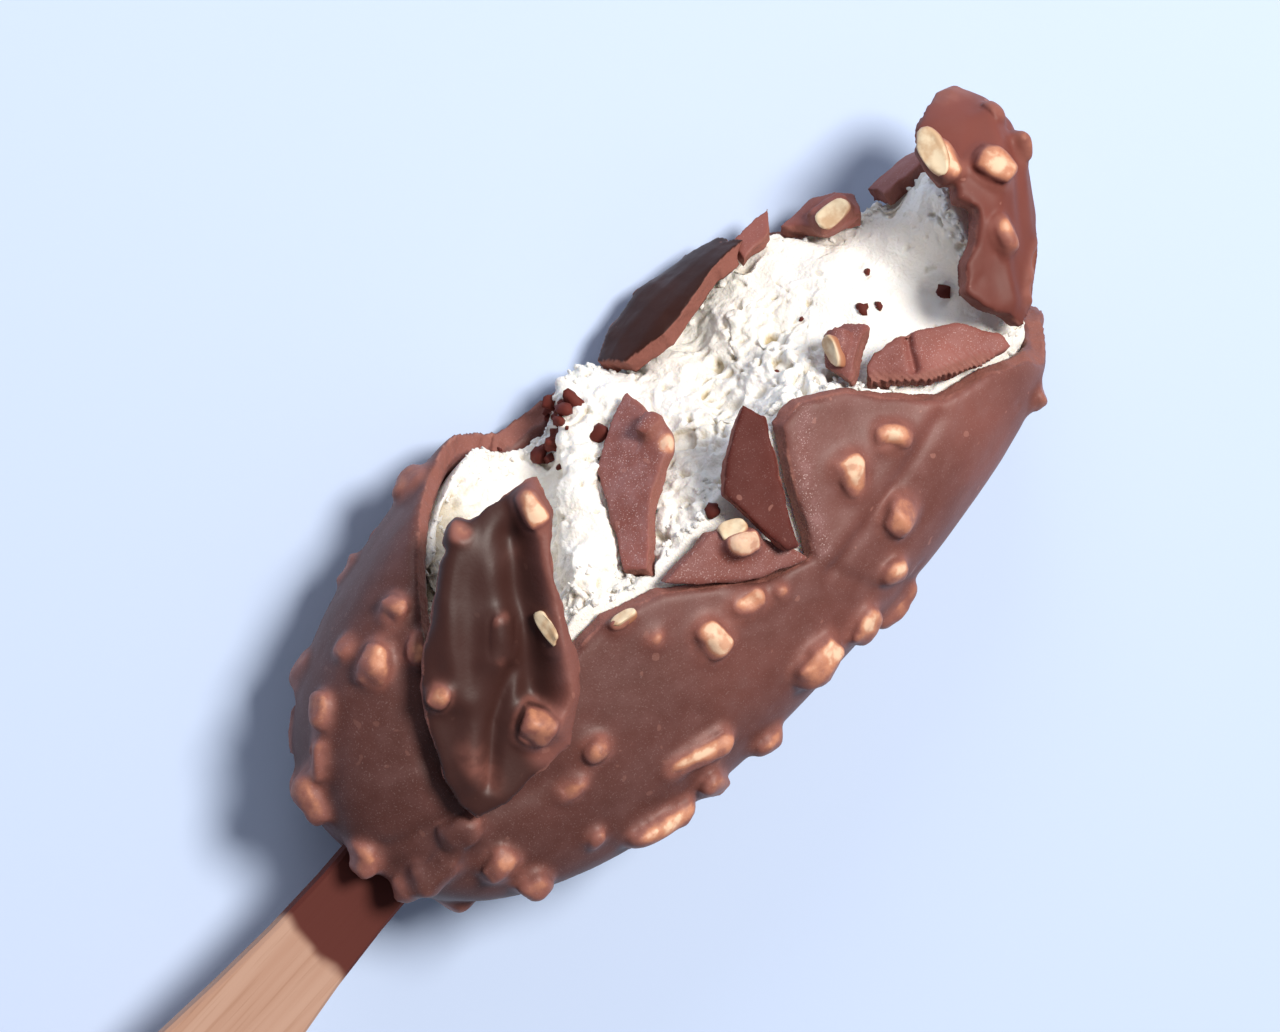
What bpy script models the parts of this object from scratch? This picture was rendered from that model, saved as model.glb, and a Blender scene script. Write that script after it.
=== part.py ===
"""A bitten ice cream bar: a milk chocolate coat full of chopped nuts, the ice cream it holds,
the pieces of coat that the bite broke loose, and a wooden stick.

The bar lies on its flat back. The origin is on the back, under the middle of the bar, +X runs
along the bar to its far tip, +Y to the bitten side and +Z up, out of the side that shows.
Shapes are worked out in millimetres and stored in metres.
"""
import math
import random

import bmesh
import bpy
from mathutils import Matrix, Vector, noise

MM = 0.001

# The whole bar, as it was before the bite. Its ends and sides lie this far from its middle
MIDDLE = Vector((0.0, 0.0, 12.6))
STICK_SIDE = 47.6
FAR_SIDE = 46.9
BITTEN_SIDE = 22.5
WHOLE_SIDE = 21.7
BAR_LENGTH = STICK_SIDE + FAR_SIDE
BAR_WIDTH = BITTEN_SIDE + WHOLE_SIDE
BAR_THICK = 26.0

# How square its corners are in plan, by whether they are far from the stick and on the bitten
# side, and how square its section is: 2 is round, more is squarer
CORNER_POWERS = {(True, True): 2.65, (True, False): 2.9, (False, True): 2.8, (False, False): 2.25}
SECTION_POWER = 2.7
WAVES = 0.013

# Its layers
COAT_THICK = 2.2
GAP = 0.3
CREAM_INSET = COAT_THICK + GAP
FLAT_SHARE = 0.92

# The stick
STICK_THICK = 2.2
STICK_START = 9.0
STICK_END = -105.0
STICK_NECK = 8.2
STICK_FAR_WIDTH = 15.0
STICK_STEP = 7.0
STICK_EDGE = 0.35
STICK_TURN = math.radians(2.1)
STICK_ENTRY = Vector((-47.2, -1.5, 12.6))

# The bite leaves a slope that faces up and towards +Y. A point on it is given by X, by how far
# it lies down the slope, and by its height over the slope's base plane through the origin.
SLOPE_UP = Vector((0.0, 0.8, 0.6))
SLOPE_DOWN = Vector((0.0, 0.6, -0.8))

# How finely round shapes are divided
COAT_LEVEL = 5
COAT_SHARE = 0.5
INSIDE_LEVEL = 4
NUT_CUTS = 1

# What is narrower than this is tidied away after a cut
SLIVER = 0.02

NUT_SEED = 11
HIDDEN_NUTS = 26


def slope_point(x, down, height):
    return Vector((x, 0.0, 0.0)) + SLOPE_DOWN * down + SLOPE_UP * height


def smooth(value, start, end):
    """0 before start, 1 after end, and an S-shaped way between."""
    share = min(1.0, max(0.0, (value - start) / (end - start)))
    return share * share * (3.0 - 2.0 * share)


def table(value, rows):
    """Reads a value off a line through (place, value) rows."""
    if value <= rows[0][0]:
        return rows[0][1]
    for (x0, y0), (x1, y1) in zip(rows, rows[1:]):
        if value <= x1:
            return y0 + (y1 - y0) * (value - x0) / (x1 - x0)
    return rows[-1][1]


def bump(x, y, at, size):
    """A round hill of height 1 at a point, size wide."""
    return math.exp(-((x - at[0]) ** 2 + (y - at[1]) ** 2) / size**2)


def plan_share(x, y, inset=0.0):
    """How far out a place in plan is: 1 on the outline of the bar, inset millimetres deep."""
    power = CORNER_POWERS[(x > 0, y > 0)]
    half_length = (FAR_SIDE if x > 0 else STICK_SIDE) - inset
    half_width = (BITTEN_SIDE if y > 0 else WHOLE_SIDE) - inset
    return ((abs(x) / half_length) ** power + (abs(y) / half_width) ** power) ** (1.0 / power)


def bar_point(towards, inset=0.0):
    """The point of the bar's surface, inset millimetres deep, on the way out of its middle."""
    way = towards.normalized()
    plan = plan_share(way.x, way.y, inset) ** SECTION_POWER
    rise = (abs(way.z) / (BAR_THICK / 2 - inset)) ** SECTION_POWER
    radius = (plan + rise) ** (-1.0 / SECTION_POWER)
    ball = Vector((way.x / BAR_LENGTH, way.y / BAR_WIDTH, way.z / BAR_THICK)).normalized()
    wave = 1.0 + WAVES * noise.noise(ball * 2.6)
    point = MIDDLE + way * radius * wave
    point.z = max(point.z, inset * FLAT_SHARE)
    return point


def bar_top(x, y, lift=0.0):
    """The point of the bar's upper side over a place in plan, lifted off it."""
    rise = max(0.0, 1.0 - plan_share(x, y, -lift) ** SECTION_POWER) ** (1.0 / SECTION_POWER)
    return bar_point(Vector((x, y, rise * (BAR_THICK / 2 + lift))), -lift)


def material(name, colour, roughness):
    finish = bpy.data.materials.new(name)
    finish.use_nodes = True
    shader = finish.node_tree.nodes["Principled BSDF"]
    shader.inputs["Base Color"].default_value = (*colour, 1.0)
    shader.inputs["Roughness"].default_value = roughness
    shader.inputs["Metallic"].default_value = 0.0
    return finish


def new_object(name, shape):
    """Turns a bmesh in millimetres into an object in metres."""
    bmesh.ops.scale(shape, vec=(MM, MM, MM), verts=shape.verts)
    mesh = bpy.data.meshes.new(name)
    shape.to_mesh(mesh)
    shape.free()
    thing = bpy.data.objects.new(name, mesh)
    bpy.context.collection.objects.link(thing)
    return thing


def remove(things):
    for thing in list(things):
        bpy.data.objects.remove(thing, do_unlink=True)


def settle(thing):
    """Applies an object's modifiers and drops the loose scraps that a cut can leave."""
    graph = bpy.context.evaluated_depsgraph_get()
    made = bpy.data.meshes.new_from_object(thing.evaluated_get(graph))
    thing.modifiers.clear()
    thing.data = made
    shape = bmesh.new()
    shape.from_mesh(made)
    bmesh.ops.remove_doubles(shape, verts=shape.verts, dist=SLIVER * MM)
    bmesh.ops.dissolve_degenerate(shape, edges=shape.edges, dist=SLIVER * MM)
    left = set(shape.verts)
    bodies = []
    while left:
        body = {left.pop()}
        edge = list(body)
        while edge:
            vert = edge.pop()
            for link in vert.link_edges:
                other = link.other_vert(vert)
                if other not in body:
                    body.add(other)
                    edge.append(other)
        left -= body
        bodies.append(body)
    bodies.sort(key=len)
    for scrap in bodies[:-1]:
        bmesh.ops.delete(shape, geom=list(scrap), context="VERTS")
    shape.to_mesh(made)
    shape.free()
    return thing


def collection_of(name, things):
    group = bpy.data.collections.new(name)
    bpy.context.scene.collection.children.link(group)
    for thing in things:
        for holder in list(thing.users_collection):
            holder.objects.unlink(thing)
        group.objects.link(thing)
    return group


def cut_out(thing, tools):
    """Cuts tools out of a thing, one after the other."""
    for tool in tools:
        boolean(thing, "DIFFERENCE", [tool])
    return thing


def boolean(thing, operation, tools):
    """Joins tools to a thing, or cuts them out of it, and removes them."""
    group = collection_of(thing.name + "_tools", tools)
    cut = thing.modifiers.new(operation, "BOOLEAN")
    cut.operation = operation
    cut.operand_type = "COLLECTION"
    cut.collection = group
    cut.solver = "EXACT"
    cut.use_self = operation == "UNION"
    settle(thing)
    remove(tools)
    bpy.data.collections.remove(group)
    return thing


def grown(thing, by=GAP):
    """A copy of a piece, swollen by the gap that a neighbour has to leave."""
    shape = bmesh.new()
    shape.from_mesh(thing.data)
    bmesh.ops.scale(shape, vec=(1 / MM,) * 3, verts=shape.verts)
    shape.normal_update()
    moves = [(vert, vert.normal * by * vert.calc_shell_factor()) for vert in shape.verts]
    for vert, move in moves:
        vert.co += move if move.length < 2.2 * by else move.normalized() * 2.2 * by
    return new_object(thing.name + "_room", shape)


def finish(thing, name, colour, roughness, sharp=40.0):
    """Names a finished piece, gives it its material and shades it."""
    thing.name = name
    thing.data.name = name
    thing.data.materials.clear()
    thing.data.materials.append(material(name, colour, roughness))
    for face in thing.data.polygons:
        face.material_index = 0
    thing.data.shade_smooth()
    thing.data.set_sharp_from_angle(angle=math.radians(sharp))
    return thing


def bar_body(name, inset, level, share=1.0):
    """The whole bar, inset millimetres deep, as a closed round solid with a flat back."""
    shape = bmesh.new()
    bmesh.ops.create_icosphere(shape, subdivisions=level, radius=1.0)
    for vert in shape.verts:
        spread = Vector((vert.co.x * BAR_LENGTH, vert.co.y * BAR_WIDTH, vert.co.z * BAR_THICK))
        vert.co = bar_point(spread, inset)
    body = new_object(name, shape)
    if share < 1.0:
        thin_out = body.modifiers.new("fewer faces", "DECIMATE")
        thin_out.ratio = share
        settle(body)
    return body


def nut(host, at, size, turn, proud=0.4, draw=None):
    """A chopped piece of nut under its film of chocolate, sunk into a surface near a point.

    size is its length and width, turn its heading in plan in degrees, and proud the share of its
    height that stands out of the surface.
    """
    draw = draw or random.Random(f"{at[0]:.1f} {at[1]:.1f}")
    place, normal = host.closest_point_on_mesh(Vector(at) * MM)[1:3]
    place = place / MM
    heading = Vector((math.cos(math.radians(turn)), math.sin(math.radians(turn)), 0.0))
    along = heading - normal * heading.dot(normal)
    if along.length < 0.2:
        along = normal.orthogonal()
    along.normalize()
    side = normal.cross(along)
    length, width = (1.1 * side_length for side_length in size)
    height = 0.4 * width + 0.3
    shape = bmesh.new()
    bmesh.ops.create_cube(shape, size=2.0)
    bmesh.ops.subdivide_edges(shape, edges=shape.edges, cuts=NUT_CUTS, use_grid_fill=True)
    lean = draw.uniform(-0.35, 0.35)
    taper = draw.uniform(-0.3, 0.3)
    for vert in shape.verts:
        unit = vert.co.normalized()
        block = (abs(unit.x) ** 3.2 + abs(unit.y) ** 3.2 + abs(unit.z) ** 3.2) ** (-1 / 3.2)
        x = unit.x * block * length / 2
        y = unit.y * block * width / 2 * (1.0 + taper * unit.x)
        z = unit.z * block * height * (1.0 + lean * unit.x)
        rough = 1.0 + 0.1 * noise.noise(Vector((x, y, z)) * 0.9 + place)
        vert.co = place + (along * x + side * y + normal * (z + height * (2 * proud - 1))) * rough
        vert.co.z = max(vert.co.z, 0.35)
    return new_object("nut", shape)


def plate(name, outline, thickness, cell=2.6, bulge=0.0, lift=None):
    """A broken piece of coat: an outline in space, filled, curved and thickened inwards.

    With lift, which gives how far a point stands off the bar, the piece follows the bar's form.
    """
    points = [Vector(point) for point in outline]
    centre = sum(points, Vector()) / len(points)
    normal = Vector()
    for here, following in zip(points, points[1:] + points[:1]):
        normal += (here - centre).cross(following - centre)
    normal.normalize()
    if normal.dot(Vector((0.2, 0.4, 1.0))) < 0:
        normal.negate()
        points.reverse()
    across = Vector((1, 0, 0)) - normal * normal.x
    across.normalize()
    along = normal.cross(across)
    corners = [((p - centre).dot(across), (p - centre).dot(along), (p - centre).dot(normal)) for p in points]
    half_u = max(abs(u) for u, v, w in corners)
    half_v = max(abs(v) for u, v, w in corners)
    shape = bmesh.new()
    shape.faces.new([shape.verts.new((u, v, 0.0)) for u, v, w in corners])
    for axis, half in ((Vector((1, 0, 0)), half_u), (Vector((0, 1, 0)), half_v)):
        steps = int(half / cell)
        for step in range(-steps, steps + 1):
            geometry = shape.verts[:] + shape.edges[:] + shape.faces[:]
            bmesh.ops.bisect_plane(shape, geom=geometry, plane_co=axis * (step * cell + 0.13), plane_no=axis)
    bmesh.ops.remove_doubles(shape, verts=shape.verts, dist=0.25)
    bmesh.ops.triangulate(shape, faces=shape.faces)
    for vert in shape.verts:
        u, v = vert.co.x, vert.co.y
        weights = [1.0 / ((u - cu) ** 2 + (v - cv) ** 2 + 1e-6) for cu, cv, cw in corners]
        off = sum(weight * corner[2] for weight, corner in zip(weights, corners)) / sum(weights)
        off += bulge * max(0.0, 1.0 - (u / half_u) ** 2 - (v / half_v) ** 2)
        if vert.is_boundary:
            u += 0.3 * noise.noise(Vector((u, v, 3.0)) * 0.8)
            v += 0.3 * noise.noise(Vector((u, v, 9.0)) * 0.8)
        point = centre + across * u + along * v + normal * off
        if lift:
            point = bar_point(point - MIDDLE, -lift(point))
        vert.co = point
    shape.normal_update()
    piece = new_object(name, shape)
    thick = piece.modifiers.new("thickness", "SOLIDIFY")
    thick.thickness = thickness * MM
    thick.offset = -1.0
    return settle(piece)


def stick_width(x):
    """The stick is narrow inside the bar and widens like a paddle towards its far end."""
    flare = smooth(x, -50.0, -92.0)
    return STICK_NECK + (STICK_FAR_WIDTH - STICK_NECK) * flare


def stick_body(name, gap=0.0):
    """A flat piece of wood with both ends round, about its own middle line, then put in place."""
    near_radius = STICK_NECK / 2
    far_radius = STICK_FAR_WIDTH / 2
    along = [STICK_START - near_radius - STICK_STEP * step for step in range(1, 14)]
    lower = [(x, -stick_width(x) / 2) for x in along if x > STICK_END + far_radius + 2.0]
    outline = []
    for step in range(7):
        turn = math.radians(90 - 30 * step)
        outline.append((STICK_START - near_radius + near_radius * math.cos(turn), near_radius * math.sin(turn)))
    outline += lower
    for step in range(13):
        turn = math.radians(270 - 15 * step)
        x = STICK_END + far_radius + far_radius * math.cos(turn)
        outline.append((x, far_radius * math.sin(turn)))
    outline += [(x, -y) for x, y in reversed(lower)]
    shape = bmesh.new()
    low = STICK_THICK / -2 - gap
    face = shape.faces.new([shape.verts.new((x, y, low)) for x, y in outline])
    raised = bmesh.ops.extrude_face_region(shape, geom=[face])
    top = [item for item in raised["geom"] if isinstance(item, bmesh.types.BMVert)]
    bmesh.ops.translate(shape, vec=(0, 0, STICK_THICK + 2 * gap), verts=top)
    bmesh.ops.recalc_face_normals(shape, faces=shape.faces)
    if gap:
        for vert in shape.verts:
            vert.co.x += gap if vert.co.x > 0 else 0.0
            vert.co.y += math.copysign(gap, vert.co.y)
    else:
        rims = [edge for edge in shape.edges if abs(edge.verts[0].co.z - edge.verts[1].co.z) < 0.01]
        bmesh.ops.bevel(shape, geom=rims, offset=STICK_EDGE, segments=1, affect="EDGES")
    place = Matrix.Translation(STICK_ENTRY) @ Matrix.Rotation(STICK_TURN, 4, "Z")
    place = place @ Matrix.Translation((-STICK_ENTRY.x, 0, 0))
    bmesh.ops.transform(shape, matrix=place, verts=shape.verts)
    return new_object(name, shape)


# The bite through the coat, as four matching outlines: on the upper side, at half height and at
# the back. They run from the far tip along the front, round the left end and out at the side.
BITE_FRONT = [
    (62, -18), (35.2, -17.6), (34.2, -13.4), (29.5, -10.6), (24.2, -8.8), (19.3, -3.4), (17.3, -0.4),
    (12.8, 2.6), (10.2, 2.4), (6.6, -3.3), (3.4, -9.3), (-2, -7), (-10, -0.2), (-16, 2.2), (-19.6, 2.1),
    (-33, 2), (-35.3, 5.5), (-29.3, 13.4), (-25.5, 17.5), (-22.5, 21), (-20, 30),
]
BITE_HALFWAY = [
    (62, -17.5), (45, -17), (39, -12.5), (32, -7), (26, -4), (21.5, 0.5), (18.5, 3),
    (13.5, 6.5), (8, 6), (4, -1), (1.5, -7), (-1, -3.5), (-9, 4), (-15, 6.2), (-18.5, 6),
    (-26, 7), (-26, 8), (-20, 12), (-17.5, 17), (-15.3, 22.3), (-14, 30),
]
BITE_BACK = [
    (62, -14), (46, -13), (43.5, -2), (38, 5.8), (34, 8), (29, 10.8), (26, 12.1),
    (20, 12.5), (15, 12.8), (11, 13), (6.5, 13.7), (3, 15), (0, 16), (-2, 16.8), (-3.5, 17.2),
    (-4.5, 17.8), (-5, 18.5), (-5.4, 19.5), (-5.5, 21), (-5.8, 24), (-6, 30),
]
BITE_OUTSIDE = [(-20, 45), (60, 45)]


def bite_through_coat():
    """The closed solid between the matching outlines, from above the bar to below it."""
    def level(outline, height):
        rows = [Vector((x, y, height(x, y))) for x, y in outline]
        return rows + [Vector((x, y, rows[0].z)) for x, y in BITE_OUTSIDE]

    levels = [
        level(BITE_FRONT, lambda x, y: 36.0),
        level(BITE_FRONT, lambda x, y: bar_top(x, y).z if plan_share(x, y) < 0.98 else 20.0),
        level(BITE_HALFWAY, lambda x, y: MIDDLE.z),
        level(BITE_BACK, lambda x, y: 2.0),
        level(BITE_BACK, lambda x, y: -8.0),
    ]
    shape = bmesh.new()
    rings = [[shape.verts.new(point) for point in points] for points in levels]
    for upper, lower in zip(rings, rings[1:]):
        for index in range(len(upper)):
            following = (index + 1) % len(upper)
            shape.faces.new((upper[index], upper[following], lower[following], lower[index]))
    shape.faces.new(rings[0])
    shape.faces.new(rings[-1])
    bmesh.ops.triangulate(shape, faces=shape.faces)
    bmesh.ops.recalc_face_normals(shape, faces=shape.faces)
    return new_object("bite", shape)


# The height of the bitten cream over the slope: along the front break, along the back break, and
# where it lines the coat round the hollow at the left
FRONT_HEIGHT = [
    (-19, 16.5), (-10, 15), (3, 15.3), (9, 16), (13, 15.5), (17.3, 14), (19.5, 11.5), (24, 7.6), (30, 5.6),
    (35, 3.6), (38, 0), (44, -2),
]
BACK_HEIGHT = [(-12, 19), (-6, 17), (0, 15), (6.5, 13.6), (13, 13.4), (24, 12.6), (30, 10.8), (38, 7.5), (45, 5.5)]
LINING_HEIGHT = [
    (-34.3, 17.4), (-31.7, 20.2), (-28.5, 22.5), (-24.5, 24.5), (-22, 24.9), (-18.5, 24.4), (-15, 23.5),
    (-13, 21.9), (-10, 20), (-7, 17.5), (-5, 15),
]
VALLEY = [(15.4, 1.8), (13.3, -1.8), (11.1, -6.2), (10.9, -9.3), (12.3, -11.6)]


def way_from(x, y, line):
    """How far a point lies from a broken line."""
    best = 99.0
    spot = Vector((x, y))
    for start, end in zip(line, line[1:]):
        start = Vector(start)
        run = Vector(end) - start
        share = min(1.0, max(0.0, (spot - start).dot(run) / run.length_squared))
        best = min(best, (spot - start - run * share).length)
    return best


def cream_height(x, down):
    """The bitten cream: its slope, the ridge and the hollow at the left, a valley and torn lumps."""
    front = table(x, FRONT_HEIGHT)
    back = table(x, BACK_HEIGHT)
    height = front + (back - front) * smooth(down, -20.0, 3.0)
    tip = smooth(x, 33.0, 40.0) * (1.0 - smooth(down, -10.0, 2.0)) * smooth(down, -21.0, -15.0)
    height += (13.2 - height) * tip
    past_ridge = x - (-4.9 + 0.85 * down)
    height += 1.7 * math.exp(-((past_ridge - 2.6) / 2.6) ** 2) * smooth(down, -19.0, -9.0)
    height += 1.8 * bump(x, down, (4.0, 2.0), 4.0) + 1.2 * bump(x, down, (2.0, -2.5), 2.6)
    height -= 1.9 * math.exp(-((way_from(x, down, VALLEY) / 1.9) ** 2))
    height += 1.3 * bump(x, down, (27.0, -8.0), 7.0) + 1.0 * bump(x, down, (19.5, -2.0), 3.0)
    floor = 12.8 + 0.1 * max(0.0, -2.0 - down) + 0.12 * max(0.0, -past_ridge)
    lining = -13.6 + 0.74 * (x + 34.3) - down
    hollow = floor + (table(x, LINING_HEIGHT) - floor) * math.exp(-max(0.0, lining) / 2.2)
    hollow += 2.0 * smooth(down, -10.0, -16.0)
    height = hollow + (height - hollow) * smooth(past_ridge, -1.6, 0.4)
    torn = noise.noise(Vector((x, down, 1.0)) * 0.22) * 0.9 + noise.noise(Vector((x, down, 5.0)) * 0.5) * 0.55
    return height + torn


def bite_into_cream():
    """The closed solid over the bitten cream."""
    near, far, low, high, cell = -40.0, 56.0, -34.0, 20.0, 2.3
    columns = int((far - near) / cell) + 1
    rows = int((high - low) / cell) + 1
    shape = bmesh.new()
    grid = []
    for column in range(columns):
        line = []
        for row in range(rows):
            x, down = near + column * cell, low + row * cell
            line.append(shape.verts.new(slope_point(x, down, cream_height(x, down))))
        grid.append(line)
    faces = []
    for column in range(columns - 1):
        for row in range(rows - 1):
            corners = (grid[column][row], grid[column + 1][row], grid[column + 1][row + 1], grid[column][row + 1])
            faces.append(shape.faces.new(corners))
    raised = bmesh.ops.extrude_face_region(shape, geom=faces)
    top = [item for item in raised["geom"] if isinstance(item, bmesh.types.BMVert)]
    for vert in top:
        vert.co += SLOPE_UP * (60.0 - vert.co.dot(SLOPE_UP))
    bmesh.ops.triangulate(shape, faces=shape.faces)
    bmesh.ops.recalc_face_normals(shape, faces=shape.faces)
    return new_object("bite", shape)


# The nuts that show on the coat: place in plan, length and width, and heading in degrees
COAT_NUTS = [
    (-28.6, 17.0, 3.0, 2.6, 14), (-29.9, 13.3, 3.4, 1.9, 34), (-34.3, 17.5, 2.4, 2.0, -16),
    (-33.6, 14.8, 4.4, 3.0, 33), (-40.4, 14.7, 4.0, 2.9, 34), (-43.9, 11.5, 4.4, 2.4, 39),
    (-46.2, 8.9, 5.5, 3.8, -100), (-44.6, -3.4, 7.2, 3.4, 3), (-39.6, -2.1, 4.4, 3.0, -8),
    (-46.8, 1.8, 3.6, 3.0, 34), (-39.2, -7.7, 3.8, 3.4, 9), (-37.6, -12.0, 3.0, 3.8, 23),
    (-25.2, -6.0, 3.0, 2.6, -17), (-29.3, -7.2, 3.2, 1.8, -11), (-18.1, -14.4, 8.0, 2.8, -18),
    (-18.8, -18.8, 5.0, 2.8, -92), (-25.2, -17.1, 8.4, 3.0, -24), (2.9, -18.6, 4.4, 3.2, 26),
    (8.6, -16.8, 3.2, 2.8, -31), (12.6, -13.0, 4.4, 3.8, 13), (11.6, -6.1, 4.6, 3.0, -113),
    (17.5, -6.7, 4.0, 2.4, -42), (-9.7, -6.7, 4.2, 3.4, -93), (-4.7, -6.9, 3.6, 2.4, -23),
    (-1.5, -8.9, 1.8, 1.5, -47), (-3.4, -17.3, 6.0, 4.4, -10), (-14.6, 1.6, 3.0, 1.7, -12),
    (-31.0, -13.0, 2.4, 1.8, 60), (33.0, -17.5, 3.0, 2.2, 20), (-13.5, -2.5, 1.6, 1.4, 0),
]
SIDE_NUTS = [
    ((-17.5, 21.9, 10.6), (4.4, 2.8), 4), ((7.8, -22.4, 17.8), (6.0, 2.6), -6),
    ((-11.6, -20.1, 19.0), (4.2, 2.8), -19), ((-27.0, -21.5, 13.0), (4.5, 3.0), 10),
]


def hidden_nuts(host):
    """Nuts spread by a seeded draw over the sides and ends that the front view doesn't show."""
    draw = random.Random(NUT_SEED)
    made = []
    places = []
    while len(made) < HIDDEN_NUTS:
        turn = draw.uniform(-math.pi, math.pi)
        tilt = draw.uniform(-0.75, -0.05)
        towards = Vector((math.cos(turn) * BAR_LENGTH, math.sin(turn) * BAR_WIDTH, tilt * BAR_THICK))
        at = bar_point(towards)
        open_side = at.y > 3 and at.x > -14
        at_stick = at.x < -40 and abs(at.y) < 9
        close = any((at - other).length < 6.5 for other in places)
        if at.z < 3.4 or open_side or at_stick or close:
            continue
        places.append(at)
        size = (draw.uniform(2.6, 5.5), draw.uniform(2.2, 3.2))
        made.append(nut(host, at, size, draw.uniform(0, 180), draw.uniform(0.3, 0.42), draw))
    return made


def flap_lift(point):
    """The left flap lies on the coat at its foot and stands up off the hollow at its point."""
    return 2.5 + 2.2 * smooth(point.x + 0.9 * point.y, -34.0, 6.0) + 0.5 * noise.noise(point * 0.16)


def tip_lift(point):
    """The curl left at the tip lies on the bar at its foot and stands off its end at the bitten side."""
    out = (point - MIDDLE).normalized().x
    return 0.5 + 4.6 * smooth(point.y, -6.0, 4.0) * smooth(out, 0.955, 0.99) + 0.3 * noise.noise(point * 0.2)


def left_flap():
    outline = [
        (-10.9, 17.5), (-16.1, 18.7), (-19.7, 18.9), (-22.9, 18.2), (-27.4, 14.8), (-32.8, 10.8), (-35.3, 6.6),
        (-37.9, 0.3), (-37.4, -1.7), (-34.1, -2.7), (-30.0, -2.8), (-26.4, -3.0), (-22.6, 0.0), (-20.1, 3.1),
        (-18.2, 8.0), (-12.4, 14.4),
    ]
    points = [bar_top(x, y, 2.2 + 2.2 * smooth(x + 0.9 * y, -34.0, 6.0)) for x, y in outline]
    flap = plate("left_flap", points, 2.1, 2.9, lift=flap_lift)
    nuts = [
        ((-20.1, 18.1, 26), (3.4, 2.6), 60), ((-14.0, 16.0, 28), (4.4, 2.6), 75), ((-32.4, 9.7, 26), (2.8, 2.4), 20),
        ((-21.6, 6.2, 29), (4.6, 2.4), 50), ((-28.1, 1.0, 27), (4.2, 3.6), 25), ((-24.7, 9.3, 28), (6.0, 3.0), 40),
    ]
    return boolean(flap, "UNION", [nut(flap, at, size, turn, 0.45) for at, size, turn in nuts])


def tip_curl():
    outline = [
        (34.1, -3.1, 23.7), (35.9, -0.9, 23.2), (37.1, -0.5, 22.9), (38.5, 1.7, 22.5), (38.8, 4.2, 22.4),
        (39.6, 5.5, 21.9), (40.5, 8.1, 20.9), (42.6, 11.0, 18.6), (45.6, 11.3, 16.6), (48.5, 10.8, 14.0),
        (51.0, 8.4, 13.5), (52.2, 5.0, 13.5), (51.8, 1.8, 14.0), (50.2, -1.0, 14.4), (47.6, -3.4, 16.0),
        (46.4, -4.8, 17.6), (44.8, -5.8, 19.0), (41.0, -8.2, 21.0), (38.6, -9.8, 21.6), (36.6, -10.2, 22.2),
        (35.0, -6.5, 23.4),
    ]
    curl = plate("tip_curl", outline, 2.2, 3.0, lift=tip_lift)
    nuts = [
        ((41.1, -2.4, 24), (4.2, 2.8), 80), ((45.0, 3.6, 24), (4.6, 3.4), 100), ((50.5, 7.0, 20), (3.0, 2.4), 60),
        ((41.8, 9.4, 24), (5.6, 3.0), 75), ((50.4, 1.6, 20), (3.6, 2.6), 90),
    ]
    return boolean(curl, "UNION", [nut(curl, at, size, turn, 0.4) for at, size, turn in nuts])


def low_plate():
    """The three-cornered plate under the front break, with a cut nut at its upper edge."""
    outline = [(-9.6, 0.7), (-3.0, 0.7), (-0.2, -0.6), (1.2, -4.6), (2.8, -8.6), (-2.0, -6.4), (-6.0, -3.2)]
    points = [bar_top(x, y, 0.5) for x, y in outline]
    piece = plate("low_plate", points, 1.9, 2.4, lift=lambda point: 0.35 + 0.25 * smooth(point.x, -8.0, 2.0))
    return boolean(piece, "UNION", [nut(piece, (-1.2, -2.2, 27), (4.0, 2.6), -30, 0.5)])


def wedge():
    outline = [(8.6, 6.8), (9.2, 4.6), (6.0, -0.2), (2.3, -6.4), (1.0, -5.7), (0.9, -1.3), (0.8, 2.4), (3.5, 4.5)]
    points = [bar_top(x, y, 1.5 - 0.16 * y) for x, y in outline]
    return plate("wedge", points, 1.7, 2.2, lift=lambda point: 1.5 - 0.16 * point.y)


def leaf():
    places = [
        (4.3, -1.8), (3.4, -6.4), (3.7, -9.1), (2.0, -10.8), (-3.0, -12.7), (-9.3, -17.6), (-10.4, -15.0),
        (-7.2, -10.3), (-3.6, -5.2), (0.5, -2.8),
    ]
    points = [slope_point(x, down, 16.9 + 0.12 * x) for x, down in places]
    piece = plate("leaf", points, 1.8, 2.2, bulge=0.7)
    return boolean(piece, "UNION", [nut(piece, slope_point(2.4, -7.6, 18), (3.0, 2.4), 20, 0.6)])


def boat():
    """The long splinter at the right, which lies on the cream with its broken underside showing."""
    outline = [
        (20.2, -2.1, 22.6), (21.8, -0.6, 21.4), (25.4, -0.9, 21.6), (28.0, -2.4, 21.8), (31.4, -5.3, 22.2),
        (33.6, -8.9, 22.6), (33.4, -10.4, 22.8), (29.6, -9.4, 23.6), (24.4, -6.2, 24.0),
    ]
    return plate("boat", outline, 2.1, 2.2, bulge=0.8)


def boat_end():
    """The short splinter beside the long one, with a pale cut nut in it."""
    places = [(21.4, -12.4), (23.6, -13.6), (24.6, -15.9), (21.6, -17.0), (18.6, -18.6), (18.4, -15.4)]
    points = [slope_point(x, down, 13.8) for x, down in places]
    piece = plate("boat_end", points, 2.2, 2.0, bulge=0.6)
    return boolean(piece, "UNION", [nut(piece, slope_point(20.9, -15.4, 15), (3.6, 2.2), 60, 0.55)])


def back_shard():
    """The dark piece of side wall that stands behind the cream at the upper left."""
    outline = [
        (5.8, 15.2, 4.6), (9.2, 16.4, 4.0), (14.4, 17.0, 3.4), (19.4, 15.8, 3.4), (24.0, 14.8, 4.6),
        (25.2, 13.4, 7.4), (21.0, 14.0, 9.0), (16.6, 13.8, 10.2), (11.4, 13.5, 10.4), (7.0, 14.0, 8.6),
    ]
    return plate("back_shard", outline, 2.4, 2.3, bulge=1.0)


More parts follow.
